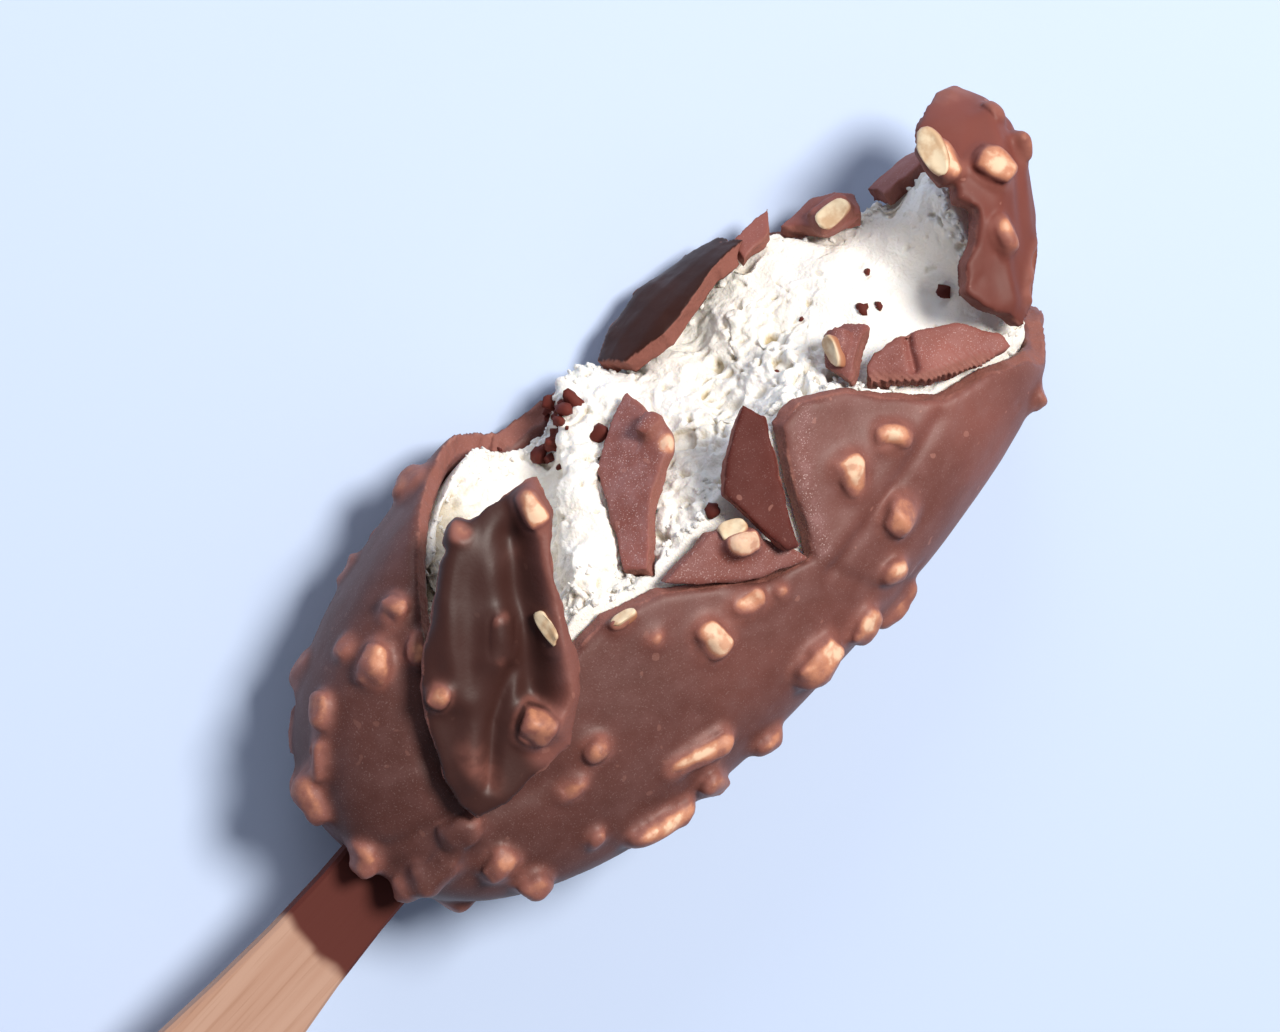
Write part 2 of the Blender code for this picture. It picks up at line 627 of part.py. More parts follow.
def back_tip():
    """The pointed chip between the dark piece and the nut piece."""
    outline = [(23.4, 11.9, 7.6), (24.0, 13.8, 6.4), (26.6, 13.9, 5.6), (29.8, 13.2, 5.2), (27.6, 12.0, 7.2)]
    return plate("back_tip", outline, 1.8, 2.0)


def back_nut_piece():
    """The piece at the back edge that is mostly one whole cut nut."""
    outline = [(29.6, 10.9, 4.9), (34.2, 10.4, 4.6), (37.2, 7.8, 6.4), (35.8, 6.4, 8.9), (31.6, 7.6, 8.4)]
    piece = plate("back_nut_piece", outline, 2.0, 2.0, bulge=0.8)
    return boolean(piece, "UNION", [nut(piece, (33.6, 9.2, 8.6), (4.6, 3.2), -20, 0.5)])


def back_edge():
    """The strip of coat left along the back edge below the tip."""
    outline = [(38.8, 6.9, 5.2), (43.5, 6.5, 4.8), (46.4, 5.7, 5.2), (45.4, 5.2, 8.8), (41.6, 5.8, 9.2), (39.0, 6.2, 8.8)]
    return plate("back_edge", outline, 1.7, 2.0, bulge=0.3)


def coat(pieces):
    """The coat: the bar with its nuts, less its inside, the bite, and room for the loose pieces."""
    body = bar_body("coat", 0.0, COAT_LEVEL, COAT_SHARE)
    nuts = [nut(body, bar_top(x, y), (length, width), turn) for x, y, length, width, turn in COAT_NUTS]
    nuts += [nut(body, at, size, turn) for at, size, turn in SIDE_NUTS]
    nuts += hidden_nuts(body)
    boolean(body, "UNION", nuts)
    cut_out(body, [bite_through_coat(), bar_body("inside", COAT_THICK, INSIDE_LEVEL), stick_body("slot", GAP)])
    return cut_out(body, [grown(piece) for piece in pieces])


def cream(pieces):
    """The ice cream: the bar inside its coat, bitten, with room for the stick and the pieces."""
    body = bar_body("cream", CREAM_INSET, INSIDE_LEVEL)
    cut_out(body, [bite_into_cream(), stick_body("slot", GAP)])
    return cut_out(body, [grown(piece) for piece in pieces])


def main():
    remove(bpy.data.objects)
    pieces = [
        left_flap(), tip_curl(), low_plate(), wedge(), leaf(), boat(), boat_end(), back_shard(), back_tip(),
        back_nut_piece(), back_edge(),
    ]
    by_name = {piece.name: piece for piece in pieces}
    cut_out(by_name["back_shard"], [grown(by_name["back_tip"])])
    cut_out(by_name["low_plate"], [grown(by_name["wedge"])])
    milk = (0.19, 0.083, 0.068)
    finish(coat(pieces), "coat", milk, 0.45)
    finish(cream(pieces), "cream", (0.93, 0.88, 0.80), 0.6, 60.0)
    finish(stick_body("stick"), "stick", (0.70, 0.46, 0.32), 0.7)
    for piece in pieces:
        finish(piece, piece.name, milk, 0.45)


main()
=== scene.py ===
# %% [markdown]
# # A bitten ice cream bar
# The bar is a block of ice cream in a shell of milk chocolate with chopped nuts, on a wooden stick.
# It could be modelled here from nothing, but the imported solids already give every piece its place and
# its size. This script keeps them as the frame and builds only the surface that the eye sees: soft
# chocolate film over the nuts, torn ice cream and wood.

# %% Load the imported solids
import math

import bmesh
import bpy
import numpy as np
from mathutils import Matrix, Vector, noise


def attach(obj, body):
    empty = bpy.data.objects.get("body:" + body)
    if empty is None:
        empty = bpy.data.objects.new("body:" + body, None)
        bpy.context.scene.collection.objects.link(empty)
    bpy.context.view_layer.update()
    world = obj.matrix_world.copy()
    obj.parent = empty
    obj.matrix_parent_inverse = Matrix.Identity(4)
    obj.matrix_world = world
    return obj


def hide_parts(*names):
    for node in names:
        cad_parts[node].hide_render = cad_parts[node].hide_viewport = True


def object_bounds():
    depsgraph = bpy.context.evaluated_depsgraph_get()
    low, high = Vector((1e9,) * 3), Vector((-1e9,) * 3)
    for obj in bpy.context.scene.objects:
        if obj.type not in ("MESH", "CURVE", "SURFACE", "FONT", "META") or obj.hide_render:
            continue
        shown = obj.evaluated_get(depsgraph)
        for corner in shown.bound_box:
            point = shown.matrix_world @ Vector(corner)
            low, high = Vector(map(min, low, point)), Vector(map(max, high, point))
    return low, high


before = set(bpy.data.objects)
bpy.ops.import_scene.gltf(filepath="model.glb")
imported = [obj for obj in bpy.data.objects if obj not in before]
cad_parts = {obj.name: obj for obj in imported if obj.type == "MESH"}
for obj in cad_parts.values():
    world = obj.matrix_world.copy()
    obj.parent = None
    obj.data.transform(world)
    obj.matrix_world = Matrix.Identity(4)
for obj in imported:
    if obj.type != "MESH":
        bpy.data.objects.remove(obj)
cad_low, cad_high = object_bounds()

MM = 0.001
print("solids:", ", ".join(sorted(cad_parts)))

# %% [markdown]
# The camera looks down on the bar at the photograph's angle, turned so that the bar rises from the
# lower left to the upper right. A long lens from 38 cm keeps both ends nearly the same size. The lens
# could be set by eye, but its length and shifts were fitted in pixels of the picture, so they stay in
# pixels here and Blender's own units are worked out from them.

# %% Place the camera
CAMERA_TARGET = Vector((0.0, 0.0, 0.0126))
CAMERA_DISTANCE = 0.38
CAMERA_TURN = math.radians(47.5)
IMAGE_WIDTH = 1280.0
FOCAL_PIXELS = 3800.0
SHIFT_X_PIXELS = -46.0
SHIFT_Y_PIXELS = -5.0
back = Vector((-0.2, 0.28, 0.94)).normalized()
along_bar = (Vector((1.0, 0.0, 0.0)) - back * back.x).normalized()
across_bar = back.cross(along_bar)
right = along_bar * math.cos(CAMERA_TURN) - across_bar * math.sin(CAMERA_TURN)
up = along_bar * math.sin(CAMERA_TURN) + across_bar * math.cos(CAMERA_TURN)

lens = bpy.data.cameras.new("camera")
lens.sensor_width = 36.0
lens.lens = FOCAL_PIXELS * lens.sensor_width / IMAGE_WIDTH
lens.shift_x = SHIFT_X_PIXELS / IMAGE_WIDTH
lens.shift_y = SHIFT_Y_PIXELS / IMAGE_WIDTH
lens.clip_start = 0.01
camera = bpy.data.objects.new("camera", lens)
camera.matrix_world = Matrix.Translation(CAMERA_TARGET + back * CAMERA_DISTANCE) @ Matrix(
    (right, up, back)
).transposed().to_4x4()
bpy.context.scene.collection.objects.link(camera)
bpy.context.scene.camera = camera
print("lens", round(lens.lens, 1), "mm")

# %% [markdown]
# Light comes from the right of the picture, low enough to rake over the nuts and throw their shadows
# to the left. A sun lamp would give hard edges and a bare sky none at all, so a disk lamp stands in
# for a studio light. A weak lamp above and a pale sky fill the shadows with cool light.

# %% Light the floor and the bar
def area_light(name, direction, distance, size, power, colour):
    """A round lamp that shines on the bar from a direction, in metres and watts."""
    lamp = bpy.data.lights.new(name, "AREA")
    lamp.shape = "DISK"
    lamp.size = size
    lamp.energy = power
    lamp.color = colour
    holder = bpy.data.objects.new(name, lamp)
    holder.location = CAMERA_TARGET + direction.normalized() * distance
    holder.rotation_euler = direction.to_track_quat("Z", "Y").to_euler()
    bpy.context.scene.collection.objects.link(holder)


TO_KEY = (right * 0.55 + up * 0.26 + back * 0.8).normalized()
TO_FILL = right * -0.1 + up * 0.9 + back * 0.7
SKY_COLOUR = (0.80, 0.87, 1.0, 1.0)
SKY_STRENGTH = 0.21
area_light("key", TO_KEY, distance=0.9, size=0.32, power=9.8, colour=(1.0, 0.94, 0.87))
area_light("fill", TO_FILL, distance=1.0, size=0.5, power=1.9, colour=(0.95, 0.96, 1.0))
sky = bpy.data.worlds.new("sky")
sky.use_nodes = True
sky.node_tree.nodes["Background"].inputs["Color"].default_value = SKY_COLOUR
sky.node_tree.nodes["Background"].inputs["Strength"].default_value = SKY_STRENGTH
bpy.context.scene.world = sky
bpy.context.scene.view_settings.view_transform = "Standard"
print("lamps:", ", ".join(lamp.name for lamp in bpy.data.lights))

# %% [markdown]
# A material could be wired by hand in the shader editor, or painted on a picture. These surfaces are
# cloudy and speckled all over, so they are built from many small nodes, fixed to the object. One
# helper adds a node, sets its values and links whatever is given as another node's output.

# %% Helpers for materials
MIX_SHARE, MIX_FIRST, MIX_SECOND = 0, 6, 7
MIXED_COLOUR = 2


def add(tree, kind, inputs=None, **settings):
    """Adds a node. An input's value is a number, a colour or another node's output."""
    made = tree.nodes.new(kind)
    for name, value in settings.items():
        setattr(made, name, value)
    for name, value in (inputs or {}).items():
        if isinstance(value, bpy.types.NodeSocket):
            tree.links.new(value, made.inputs[name])
        else:
            made.inputs[name].default_value = value
    return made


def mix(tree, share, first, second, blend="MIX"):
    """Mixes two colours by a share, each a colour or an output."""
    made = add(tree, "ShaderNodeMix", data_type="RGBA", blend_type=blend)
    for socket, value in ((MIX_SHARE, share), (MIX_FIRST, first), (MIX_SECOND, second)):
        if isinstance(value, bpy.types.NodeSocket):
            tree.links.new(value, made.inputs[socket])
        else:
            made.inputs[socket].default_value = value if socket == MIX_SHARE else (*value, 1.0)
    return made.outputs[MIXED_COLOUR]


def between(tree, value, low, high, start=0.0, end=1.0):
    """Maps a value from low..high to start..end with soft ends."""
    made = add(tree, "ShaderNodeMapRange", {"Value": value}, interpolation_type="SMOOTHSTEP")
    made.inputs["From Min"].default_value = low
    made.inputs["From Max"].default_value = high
    made.inputs["To Min"].default_value = start
    made.inputs["To Max"].default_value = end
    return made.outputs["Result"]


def math_node(tree, operation, first, second):
    """One sum or product of two values."""
    return add(tree, "ShaderNodeMath", {0: first, 1: second}, operation=operation).outputs[0]


def speckle(tree, size_mm, detail=2.0):
    """Cloudy noise with marks of about size_mm, fixed to the object."""
    spot = add(tree, "ShaderNodeTexCoord").outputs["Object"]
    values = {"Vector": spot, "Scale": 1.0 / (size_mm * MM), "Detail": detail}
    return add(tree, "ShaderNodeTexNoise", values)


def start_material(name, roughness):
    """A new material, its tree of nodes and its shader."""
    finish = bpy.data.materials.new(name)
    finish.use_nodes = True
    shader = finish.node_tree.nodes["Principled BSDF"]
    shader.inputs["Roughness"].default_value = roughness
    return finish, finish.node_tree, shader


# %% [markdown]
# The floor is a plain pale sheet that takes the bar's soft shadow. One large face is enough, as it has
# no relief. It is stage, not part of the bar.

# %% Lay the floor
FLOOR_HALF = 1.5
FLOOR_CORNERS = [(-1, -1), (1, -1), (1, 1), (-1, 1)]
PALE_BLUE = (0.55, 0.67, 0.90, 1.0)
floor_mesh = bpy.data.meshes.new("floor")
corners = [(x * FLOOR_HALF, y * FLOOR_HALF, 0.0) for x, y in FLOOR_CORNERS]
floor_mesh.from_pydata(corners, [], [(0, 1, 2, 3)])
floor = bpy.data.objects.new("floor", floor_mesh)
bpy.context.scene.collection.objects.link(floor)
paper, _, paper_shader = start_material("floor", 0.9)
paper_shader.inputs["Base Color"].default_value = PALE_BLUE
floor_mesh.materials.append(paper)
print("floor:", 2 * FLOOR_HALF, "m square")

# %% [markdown]
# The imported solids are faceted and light. They could be sculpted by hand, but that can't be repeated
# by a script. So each one is copied and rebuilt from fine even cells with a voxel remesh, and later
# steps round, ripple and tear it. Hidden places get few large faces, which keeps the file light.

# %% Helpers for fine meshes
def copy_of(node, name):
    """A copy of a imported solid, to be worked on."""
    piece = bpy.data.objects.new(name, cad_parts[node].data.copy())
    piece.data.name = name
    piece.data.materials.clear()
    bpy.context.scene.collection.objects.link(piece)
    return piece


def apply_modifiers(piece):
    """Makes what the modifiers show the piece's own mesh."""
    graph = bpy.context.evaluated_depsgraph_get()
    made = bpy.data.meshes.new_from_object(piece.evaluated_get(graph))
    piece.modifiers.clear()
    piece.data = made


def remesh(piece, cell):
    """Rebuilds a solid from cells of that many millimetres."""
    step = piece.modifiers.new("cells", "REMESH")
    step.mode = "VOXEL"
    step.voxel_size = cell * MM
    apply_modifiers(piece)


def thin_out(piece, hidden, keep):
    """Merges faces where the hidden share is 1, down to keep of them."""
    group = piece.vertex_groups.new(name="hidden")
    group.add([int(index) for index in np.flatnonzero(hidden)], 1.0, "REPLACE")
    fewer = piece.modifiers.new("fewer", "DECIMATE")
    fewer.vertex_group = "hidden"
    fewer.vertex_group_factor = 1000.0
    fewer.ratio = 1.0 - hidden.mean() * (1.0 - keep)
    apply_modifiers(piece)
    piece.vertex_groups.clear()


# %% [markdown]
# The numbers of a mesh are read into arrays, in millimetres, because whole arrays are quick to work
# on. A loop over every point would give the same result, but these meshes have far too many.

# %% Read and write the points of a mesh
def read(piece):
    """Points and normals of a mesh as arrays, in millimetres, and its edges."""
    mesh = piece.data
    points = np.empty(len(mesh.vertices) * 3)
    mesh.vertices.foreach_get("co", points)
    normals = np.empty(len(mesh.vertices) * 3)
    mesh.vertex_normals.foreach_get("vector", normals)
    edges = np.empty(len(mesh.edges) * 2, dtype=np.int32)
    mesh.edges.foreach_get("vertices", edges)
    return points.reshape(-1, 3) / MM, normals.reshape(-1, 3), edges.reshape(-1, 2)


def write(piece, points):
    """Puts points in millimetres back into a mesh."""
    piece.data.vertices.foreach_set("co", (points * MM).ravel())
    piece.data.update()
    piece.data.shade_smooth()


def store(piece, name, values):
    """Keeps a number for each point, for the material to read."""
    layer = piece.data.attributes.new(name, "FLOAT", "POINT")
    layer.data.foreach_set("value", np.clip(values, 0.0, 1.0).astype(np.float32))


# %% [markdown]
# Melted and set chocolate has no sharp corners. Each point is moved part of the way towards the middle
# of its neighbours, several times over. Blender's Smooth modifier does the same, but here every point
# can have a weight of its own, so that broken rims stay sharp beside a rounded film.

# %% Smooth a mesh
def spread(values, edges, rounds, weight=None):
    """Averages values with those of their neighbours, several times."""
    count = len(values)
    ends = np.bincount(edges.ravel(), minlength=count)
    ends = np.maximum(ends, 1)
    for _ in range(rounds):
        mean = np.bincount(edges[:, 0], values[edges[:, 1]], count)
        mean = (mean + np.bincount(edges[:, 1], values[edges[:, 0]], count)) / ends
        change = 0.7 * (mean - values)
        values = values + (change if weight is None else change * weight)
    return values


def relax(points, edges, rounds, weight=None):
    """Rounds a surface: each point moves towards the middle of its neighbours."""
    return np.stack([spread(points[:, axis], edges, rounds, weight) for axis in range(3)], axis=1)


def ramp(values, low, high):
    """0 below low and 1 above high, with soft ends."""
    share = np.clip((values - low) / (high - low), 0.0, 1.0)
    return share * share * (3.0 - 2.0 * share)


# %% [markdown]
# Waves, lumps and tears come from noise: numbers that look random but change smoothly from place to
# place. Blender has noise of its own for single points. This one takes a whole array at once, and the
# same seed always gives the same surface.

# %% Noise for whole arrays
PRIMES = (73856093, 19349663, 83492791)
STIR, SEED_STIR, SEED_SHIFT = 1274126177, 9973, 7.31


def soft_noise(points, size, seed=0):
    """Smooth noise from -1 to 1, with marks of about size millimetres.

    Each corner of a grid gets a number stirred from its own place, and points lie between them.
    """
    scaled = points / size + seed * SEED_SHIFT
    base = np.floor(scaled).astype(np.int64)
    local = scaled - base
    ease = local * local * (3.0 - 2.0 * local)
    total = np.zeros(len(points))
    for x in (0, 1):
        for y in (0, 1):
            for z in (0, 1):
                key = (base[:, 0] + x) * PRIMES[0] ^ (base[:, 1] + y) * PRIMES[1]
                key = key ^ (base[:, 2] + z) * PRIMES[2]
                key = (key ^ (key >> 13)) * STIR + seed * SEED_STIR
                value = ((key ^ (key >> 16)) & 65535) / 32767.5 - 1.0
                near = np.where(x, ease[:, 0], 1 - ease[:, 0]) * np.where(y, ease[:, 1], 1 - ease[:, 1])
                total += value * near * np.where(z, ease[:, 2], 1 - ease[:, 2])
    return total


def rough_noise(points, size, seed=0, layers=3):
    """Soft noise with finer and finer layers added."""
    total = np.zeros(len(points))
    for layer in range(layers):
        total += soft_noise(points, size / 2**layer, seed + layer) / 2**layer
    return total / 1.6


# %% [markdown]
# The unbitten bar is a rounded block that one formula describes. It says how far each point of a
# mesh stands over or under the smooth film, and so which points are nuts and which are broken edges.
# Distances to a smooth mesh would say the same, but the formula is quicker and has no facets.

# %% Measure heights over the bar's form
HALF_SIZES = np.array([47.25, 22.1, 13.0])
FAR_SIDE, STICK_SIDE = 46.9, 47.6
BITTEN_SIDE, WHOLE_SIDE = 22.5, 21.7
BAR_MIDDLE = np.array([0.0, 0.0, 12.6])
SECTION_POWER = 2.7
WAVES = 0.013
WAVE_SCALE = 2.6
COAT_THICK = 2.2
# How square the plan's corners are, on the bitten and on the whole side of each end
FAR_POWERS = (2.65, 2.9)
STICK_POWERS = (2.8, 2.25)


def over_bar(points):
    """Height over the unbitten bar's surface, and the way out of it, for each point."""
    offset = points - BAR_MIDDLE
    far, bitten_side = offset[:, 0] > 0, offset[:, 1] > 0
    half = np.full_like(offset, HALF_SIZES[2])
    half[:, 0] = np.where(far, FAR_SIDE, STICK_SIDE)
    half[:, 1] = np.where(bitten_side, BITTEN_SIDE, WHOLE_SIDE)
    power = np.where(far, np.where(bitten_side, *FAR_POWERS), np.where(bitten_side, *STICK_POWERS))
    share = np.maximum(np.abs(offset) / half, 1e-4)
    plan = share[:, 0] ** power + share[:, 1] ** power
    size = (plan ** (SECTION_POWER / power) + share[:, 2] ** SECTION_POWER) ** (1 / SECTION_POWER)
    slope = np.empty_like(offset)
    for axis in (0, 1):
        slope[:, axis] = plan ** (SECTION_POWER / power - 1) * share[:, axis] ** (power - 1)
    slope[:, 2] = share[:, 2] ** (SECTION_POWER - 1)
    slope *= size[:, None] ** (1 - SECTION_POWER) / half * np.sign(offset)
    steep = np.linalg.norm(slope, axis=1)
    ball = offset / HALF_SIZES
    ball /= np.linalg.norm(ball, axis=1)[:, None]
    wave = np.array([noise.noise(Vector(spot) * WAVE_SCALE) for spot in ball])
    return (size - 1.0 - WAVES * wave) / steep, slope / steep[:, None]


# %% [markdown]
# Milk chocolate is a warm brown with a soft gloss. Where the film is thin over a nut, the nut shows
# through in orange and tan, and tips that face the key lamp get a painted highlight. Broken edges are
# lighter, dull and grainy, crests get a paler painted edge highlight, and cold pieces carry a frost
# of tiny pale specks. Places that should lie in shadow get a painted shade. Each could be a material
# of its own, but they fade into each other. So the mesh carries a number for each of them at every
# point, and one recipe mixes their colours for all pieces.

# %% The chocolate's finish
SPECK = (0.42, 0.19, 0.15)
BROKEN = (0.26, 0.098, 0.076)
CREST_HIGHLIGHT = (0.46, 0.22, 0.17)
NUT_UNDER_FILM = (0.29, 0.11, 0.085)
NUT_ORANGE = (0.56, 0.24, 0.14)
NUT_TAN_AND_HIGHLIGHT = (0.84, 0.57, 0.39)
FROST_GRAIN = (0.72, 0.54, 0.52)
FROST_HAZE = (0.38, 0.21, 0.21)
SHADED_SHARE = 0.17
BROKEN_ROUGHNESS = 0.72
BLOOM_ROUGHNESS = 0.6


def chocolate(name, colour, roughness, cloudy=0.6, shine=0.3):
    """The finish of one kind of chocolate. cloudy is its pale bloom, and shine its highlights."""
    finish, tree, shader = start_material(name, roughness)
    nut, broken, crest_highlight, frosted, shade = (
        add(tree, "ShaderNodeAttribute", attribute_name=kept).outputs["Fac"]
        for kept in ("nut", "broken", "crest_highlight", "frosted", "shade")
    )
    cloud = between(tree, speckle(tree, 14.0, 4.0).outputs["Fac"], 0.35, 0.7)
    bloom = between(tree, speckle(tree, 3.0, 5.0).outputs["Fac"], 0.42, 0.75)
    darker = tuple(0.7 * part for part in colour)
    greyer = (colour[0] * 1.05, colour[1] * 1.35, colour[2] * 1.5)
    body = mix(tree, cloud, darker, colour)
    body = mix(tree, math_node(tree, "MULTIPLY", bloom, cloudy), body, greyer)
    dots = between(tree, speckle(tree, 1.1, 0.0).outputs["Fac"], 0.79, 0.82, 0.0, 0.45)
    body = mix(tree, dots, body, SPECK)
    # The shade attribute is a painted shade: it darkens the colour towards a small share of itself.
    shaded = tuple(SHADED_SHARE * part for part in colour)
    body = mix(tree, math_node(tree, "MULTIPLY", shade, 0.9), body, shaded)
    body = mix(tree, broken, body, BROKEN)
    # Crests are painted paler here, a painted edge highlight.
    body = mix(tree, math_node(tree, "MULTIPLY", crest_highlight, 0.65), body, CREST_HIGHLIGHT)
    patches = between(tree, speckle(tree, 1.4, 3.0).outputs["Fac"], 0.35, 0.65, -0.2, 0.12)
    nut = math_node(tree, "ADD", nut, math_node(tree, "MULTIPLY", patches, nut))
    body = mix(tree, between(tree, nut, 0.03, 0.4, 0.0, 0.85), body, NUT_UNDER_FILM)
    body = mix(tree, between(tree, nut, 0.35, 0.72), body, NUT_ORANGE)
    body = mix(tree, between(tree, nut, 0.66, 1.0), body, NUT_TAN_AND_HIGHLIGHT)
    dust = between(tree, speckle(tree, 0.16, 1.0).outputs["Fac"], 0.62, 0.70)
    grains = math_node(tree, "MULTIPLY", dust, frosted)
    body = mix(tree, math_node(tree, "MULTIPLY", grains, 0.75), body, FROST_GRAIN)
    haze = between(tree, speckle(tree, 1.8, 4.0).outputs["Fac"], 0.35, 0.7, 0.05, 0.45)
    body = mix(tree, math_node(tree, "MULTIPLY", haze, frosted), body, FROST_HAZE)
    tree.links.new(body, shader.inputs["Base Color"])
    dull = math_node(tree, "MAXIMUM", broken, math_node(tree, "MULTIPLY", frosted, 0.8))
    rough = mix(tree, dull, (roughness,) * 3, (BROKEN_ROUGHNESS,) * 3)
    rough = mix(tree, math_node(tree, "MULTIPLY", bloom, 0.35), rough, (BLOOM_ROUGHNESS,) * 3)
    tree.links.new(rough, shader.inputs["Roughness"])
    shader.inputs["Specular IOR Level"].default_value = shine
    grain = speckle(tree, 0.35, 3.0).outputs["Fac"]
    deep = math_node(tree, "ADD", math_node(tree, "MULTIPLY", dull, 0.8), 0.1)
    bump = add(tree, "ShaderNodeBump", {"Strength": deep, "Distance": 0.00012, "Height": grain})
    tree.links.new(bump.outputs["Normal"], shader.inputs["Normal"])
    return finish


MILK = (0.222, 0.078, 0.063)
RED_MILK = (0.205, 0.060, 0.046)
PLUM = (0.138, 0.030, 0.023)
PALE_MILK = (0.31, 0.10, 0.08)
# The next colour is a painted shade for the back shard, which faces away from the light.
SHADOW_DARK = (0.045, 0.016, 0.012)
film_finish = chocolate("film", MILK, roughness=0.46)
curl_finish = chocolate("curl_film", RED_MILK, roughness=0.5, cloudy=0.25, shine=0.2)
plate_finish = chocolate("plate", PLUM, roughness=0.6, cloudy=0.1, shine=0.12)
shard_finish = chocolate("shard", PALE_MILK, roughness=0.45, cloudy=0.3, shine=0.25)
shaded_shard_finish = chocolate("dark_shard", SHADOW_DARK, roughness=0.34, cloudy=0.2, shine=0.16)
print("finishes:", ", ".join(finish.name for finish in bpy.data.materials))

# %% [markdown]
# The coat is one shell, and the flap and the curl are pieces of it. On all of them the outer side is
# smooth film with nuts in it, and the rim is freshly broken. Painting these places by hand would be
# slow and hard to repeat, so they are found by measuring: nuts rise over the film, and a broken edge
# lies under it and faces sideways.

# %% Find the nuts and the broken edges
FAR_AWAY = 99.0
EDGE_START = 0.3
INNER_MARGIN = 0.25
HIDDEN_DEPTH = 1.4
HIDDEN_KEPT = 0.05
SHEET_SCALE = 10.0


def near_line(points, line, width):
    """How close each point is to a line, from 1 on it to 0 far away. A flat line is met in plan."""
    points = points[:, :len(line[0])]
    best = np.full(len(points), FAR_AWAY)
    for start, end in zip(line, line[1:]):
        start, run = np.array(start), np.array(end) - np.array(start)
        share = np.clip((points - start) @ run / (run @ run), 0, 1)
        best = np.minimum(best, np.linalg.norm(points - start - share[:, None] * run, axis=1))
    return np.exp(-((best / width) ** 2))


def rise_over_film(points, height, outer):
    """How far nuts stand out of a loose piece: its height less a smooth sheet laid under it.

    The sheet is fitted again and again, each time with less trust in the points that stand over it.
    """
    x, y = (points[:, :2] - points[:, :2].mean(0)).T / SHEET_SCALE
    terms = [np.ones_like(x), x, y, x * x, x * y, y * y, x**3, x * x * y, x * y * y, y**3]
    terms = np.stack(terms, axis=1)
    trust = (outer > 0.5).astype(float)
    for _ in range(8):
        sheet = np.linalg.lstsq(terms * trust[:, None], height * trust, rcond=None)[0]
        rise = height - terms @ sheet
        trust = (outer > 0.5) * np.where(rise > 0.15, 0.05, 1.0)
    return rise


def measured(piece):
    """A mesh's points, normals and edges, and each point's height, way out and facing."""
    points, normals, edges = read(piece)
    height, out = over_bar(points)
    return points, normals, edges, height, out, (normals * out).sum(1)


def on_coat_edge(height, facing):
    """Points of the shell's rim: under the film, over its inner side, and facing sideways."""
    return (height < -EDGE_START) & (height > INNER_MARGIN - COAT_THICK) & (np.abs(facing) < 0.8)


def start_coat(piece):
    """Measures the shell, and keeps only a few large faces of its hidden inner side."""
    points, normals, edges, height, out, facing = measured(piece)
    near = spread(on_coat_edge(height, facing).astype(float), edges, 10) > 0.01
    thin_out(piece, (height < -HIDDEN_DEPTH) & (facing < 0.3) & ~near, HIDDEN_KEPT)
    points, normals, edges, height, out, facing = measured(piece)
    return points, normals, edges, out, facing, height + 0.05, on_coat_edge(height, facing)


def start_loose(piece):
    """Measures a piece that broke off the coat."""
    points, normals, edges, height, out, facing = measured(piece)
    rise = rise_over_film(points, height, ramp(facing, 0.5, 0.8))
    below = spread((facing < -0.3).astype(float), edges, 30) > 0.005
    return points, normals, edges, out, facing, rise, (np.abs(facing) < 0.55) & (rise < -0.25) & below


# %% [markdown]
# A nut shows through the film most where the chocolate is thinnest, on high tips. Tips that face the
# key lamp get a stronger orange and tan, which is a painted highlight. The tint could be painted on by
# hand. Here it follows from how far each point stands out, so that it always lies on the nut itself.
# Edges that stand out are painted a little paler, as a painted edge highlight.

# %% Tint the nuts and store what the finish reads
def nut_tint(points, normals, edges, rise, foot, outside, bare, covered):
    """How clearly the nut shows at each point, with a painted highlight on high tips that face the light."""
    varied = np.clip(0.6 + 0.9 * soft_noise(points, 5.0, 6), 0.15, 1.1)
    to_light = ramp(spread(normals @ np.array(TO_KEY), edges, 3), 0.5, 0.97)
    # A painted highlight: the nut's tan is strongest on tips that face the key lamp.
    tip = (ramp(rise, 0.4, 1.15) * to_light) ** 1.4
    nut = (0.22 * ramp(foot, 0.02, 0.25) + 0.2 * ramp(rise, 0.1, 0.6) + 0.85 * tip * varied) * outside
    for line, amount in bare:
        nut += amount * near_line(points, line, 1.8) * ramp(rise, 0.3, 0.8) * to_light
    for line in covered:
        nut *= 1 - 0.9 * near_line(points, line, 3.2)
    return nut


def finish_chocolate(piece, points, broken, nut, frost, shade=None):
    """Stores what the chocolate's finish reads, and writes the points."""
    write(piece, points)
    points, normals, edges = read(piece)
    # Crests that stand out are painted paler, a painted edge highlight, more on broken and frosted parts.
    crest = ((points - relax(points, edges, 2)) * normals).sum(1)
    store(piece, "crest_highlight", ramp(crest, 0.03, 0.16) * (1 - nut) * (0.4 + 0.6 * broken + 0.4 * frost))
    store(piece, "broken", broken)
    store(piece, "nut", nut)
    store(piece, "frosted", frost)
    store(piece, "shade", np.zeros(len(points)) if shade is None else shade)


# %% [markdown]
# Chocolate rounds every chopped nut as it sets, and the dipped film has slow waves. Smoothing with a
# modifier would round the broken rims as well. So each point moves towards its neighbours by a share
# of its own, and low noise then lifts the outer side. The nuts get small lumps and flats of their own.

# %% Shape the film
CAD_TOP = cad_high[2] / MM
NUT_HIGHEST = 1.3
MELTED_REACH = 3.4
MELTED_ROUNDS = 70


def keep_in_reach(points):
    """Holds points near the solids' top, and over the floor."""
    points[:, 2] -= 0.7 * np.maximum(points[:, 2] - CAD_TOP, 0.0)
    points[:, 2] = np.maximum(points[:, 2], 0.0)


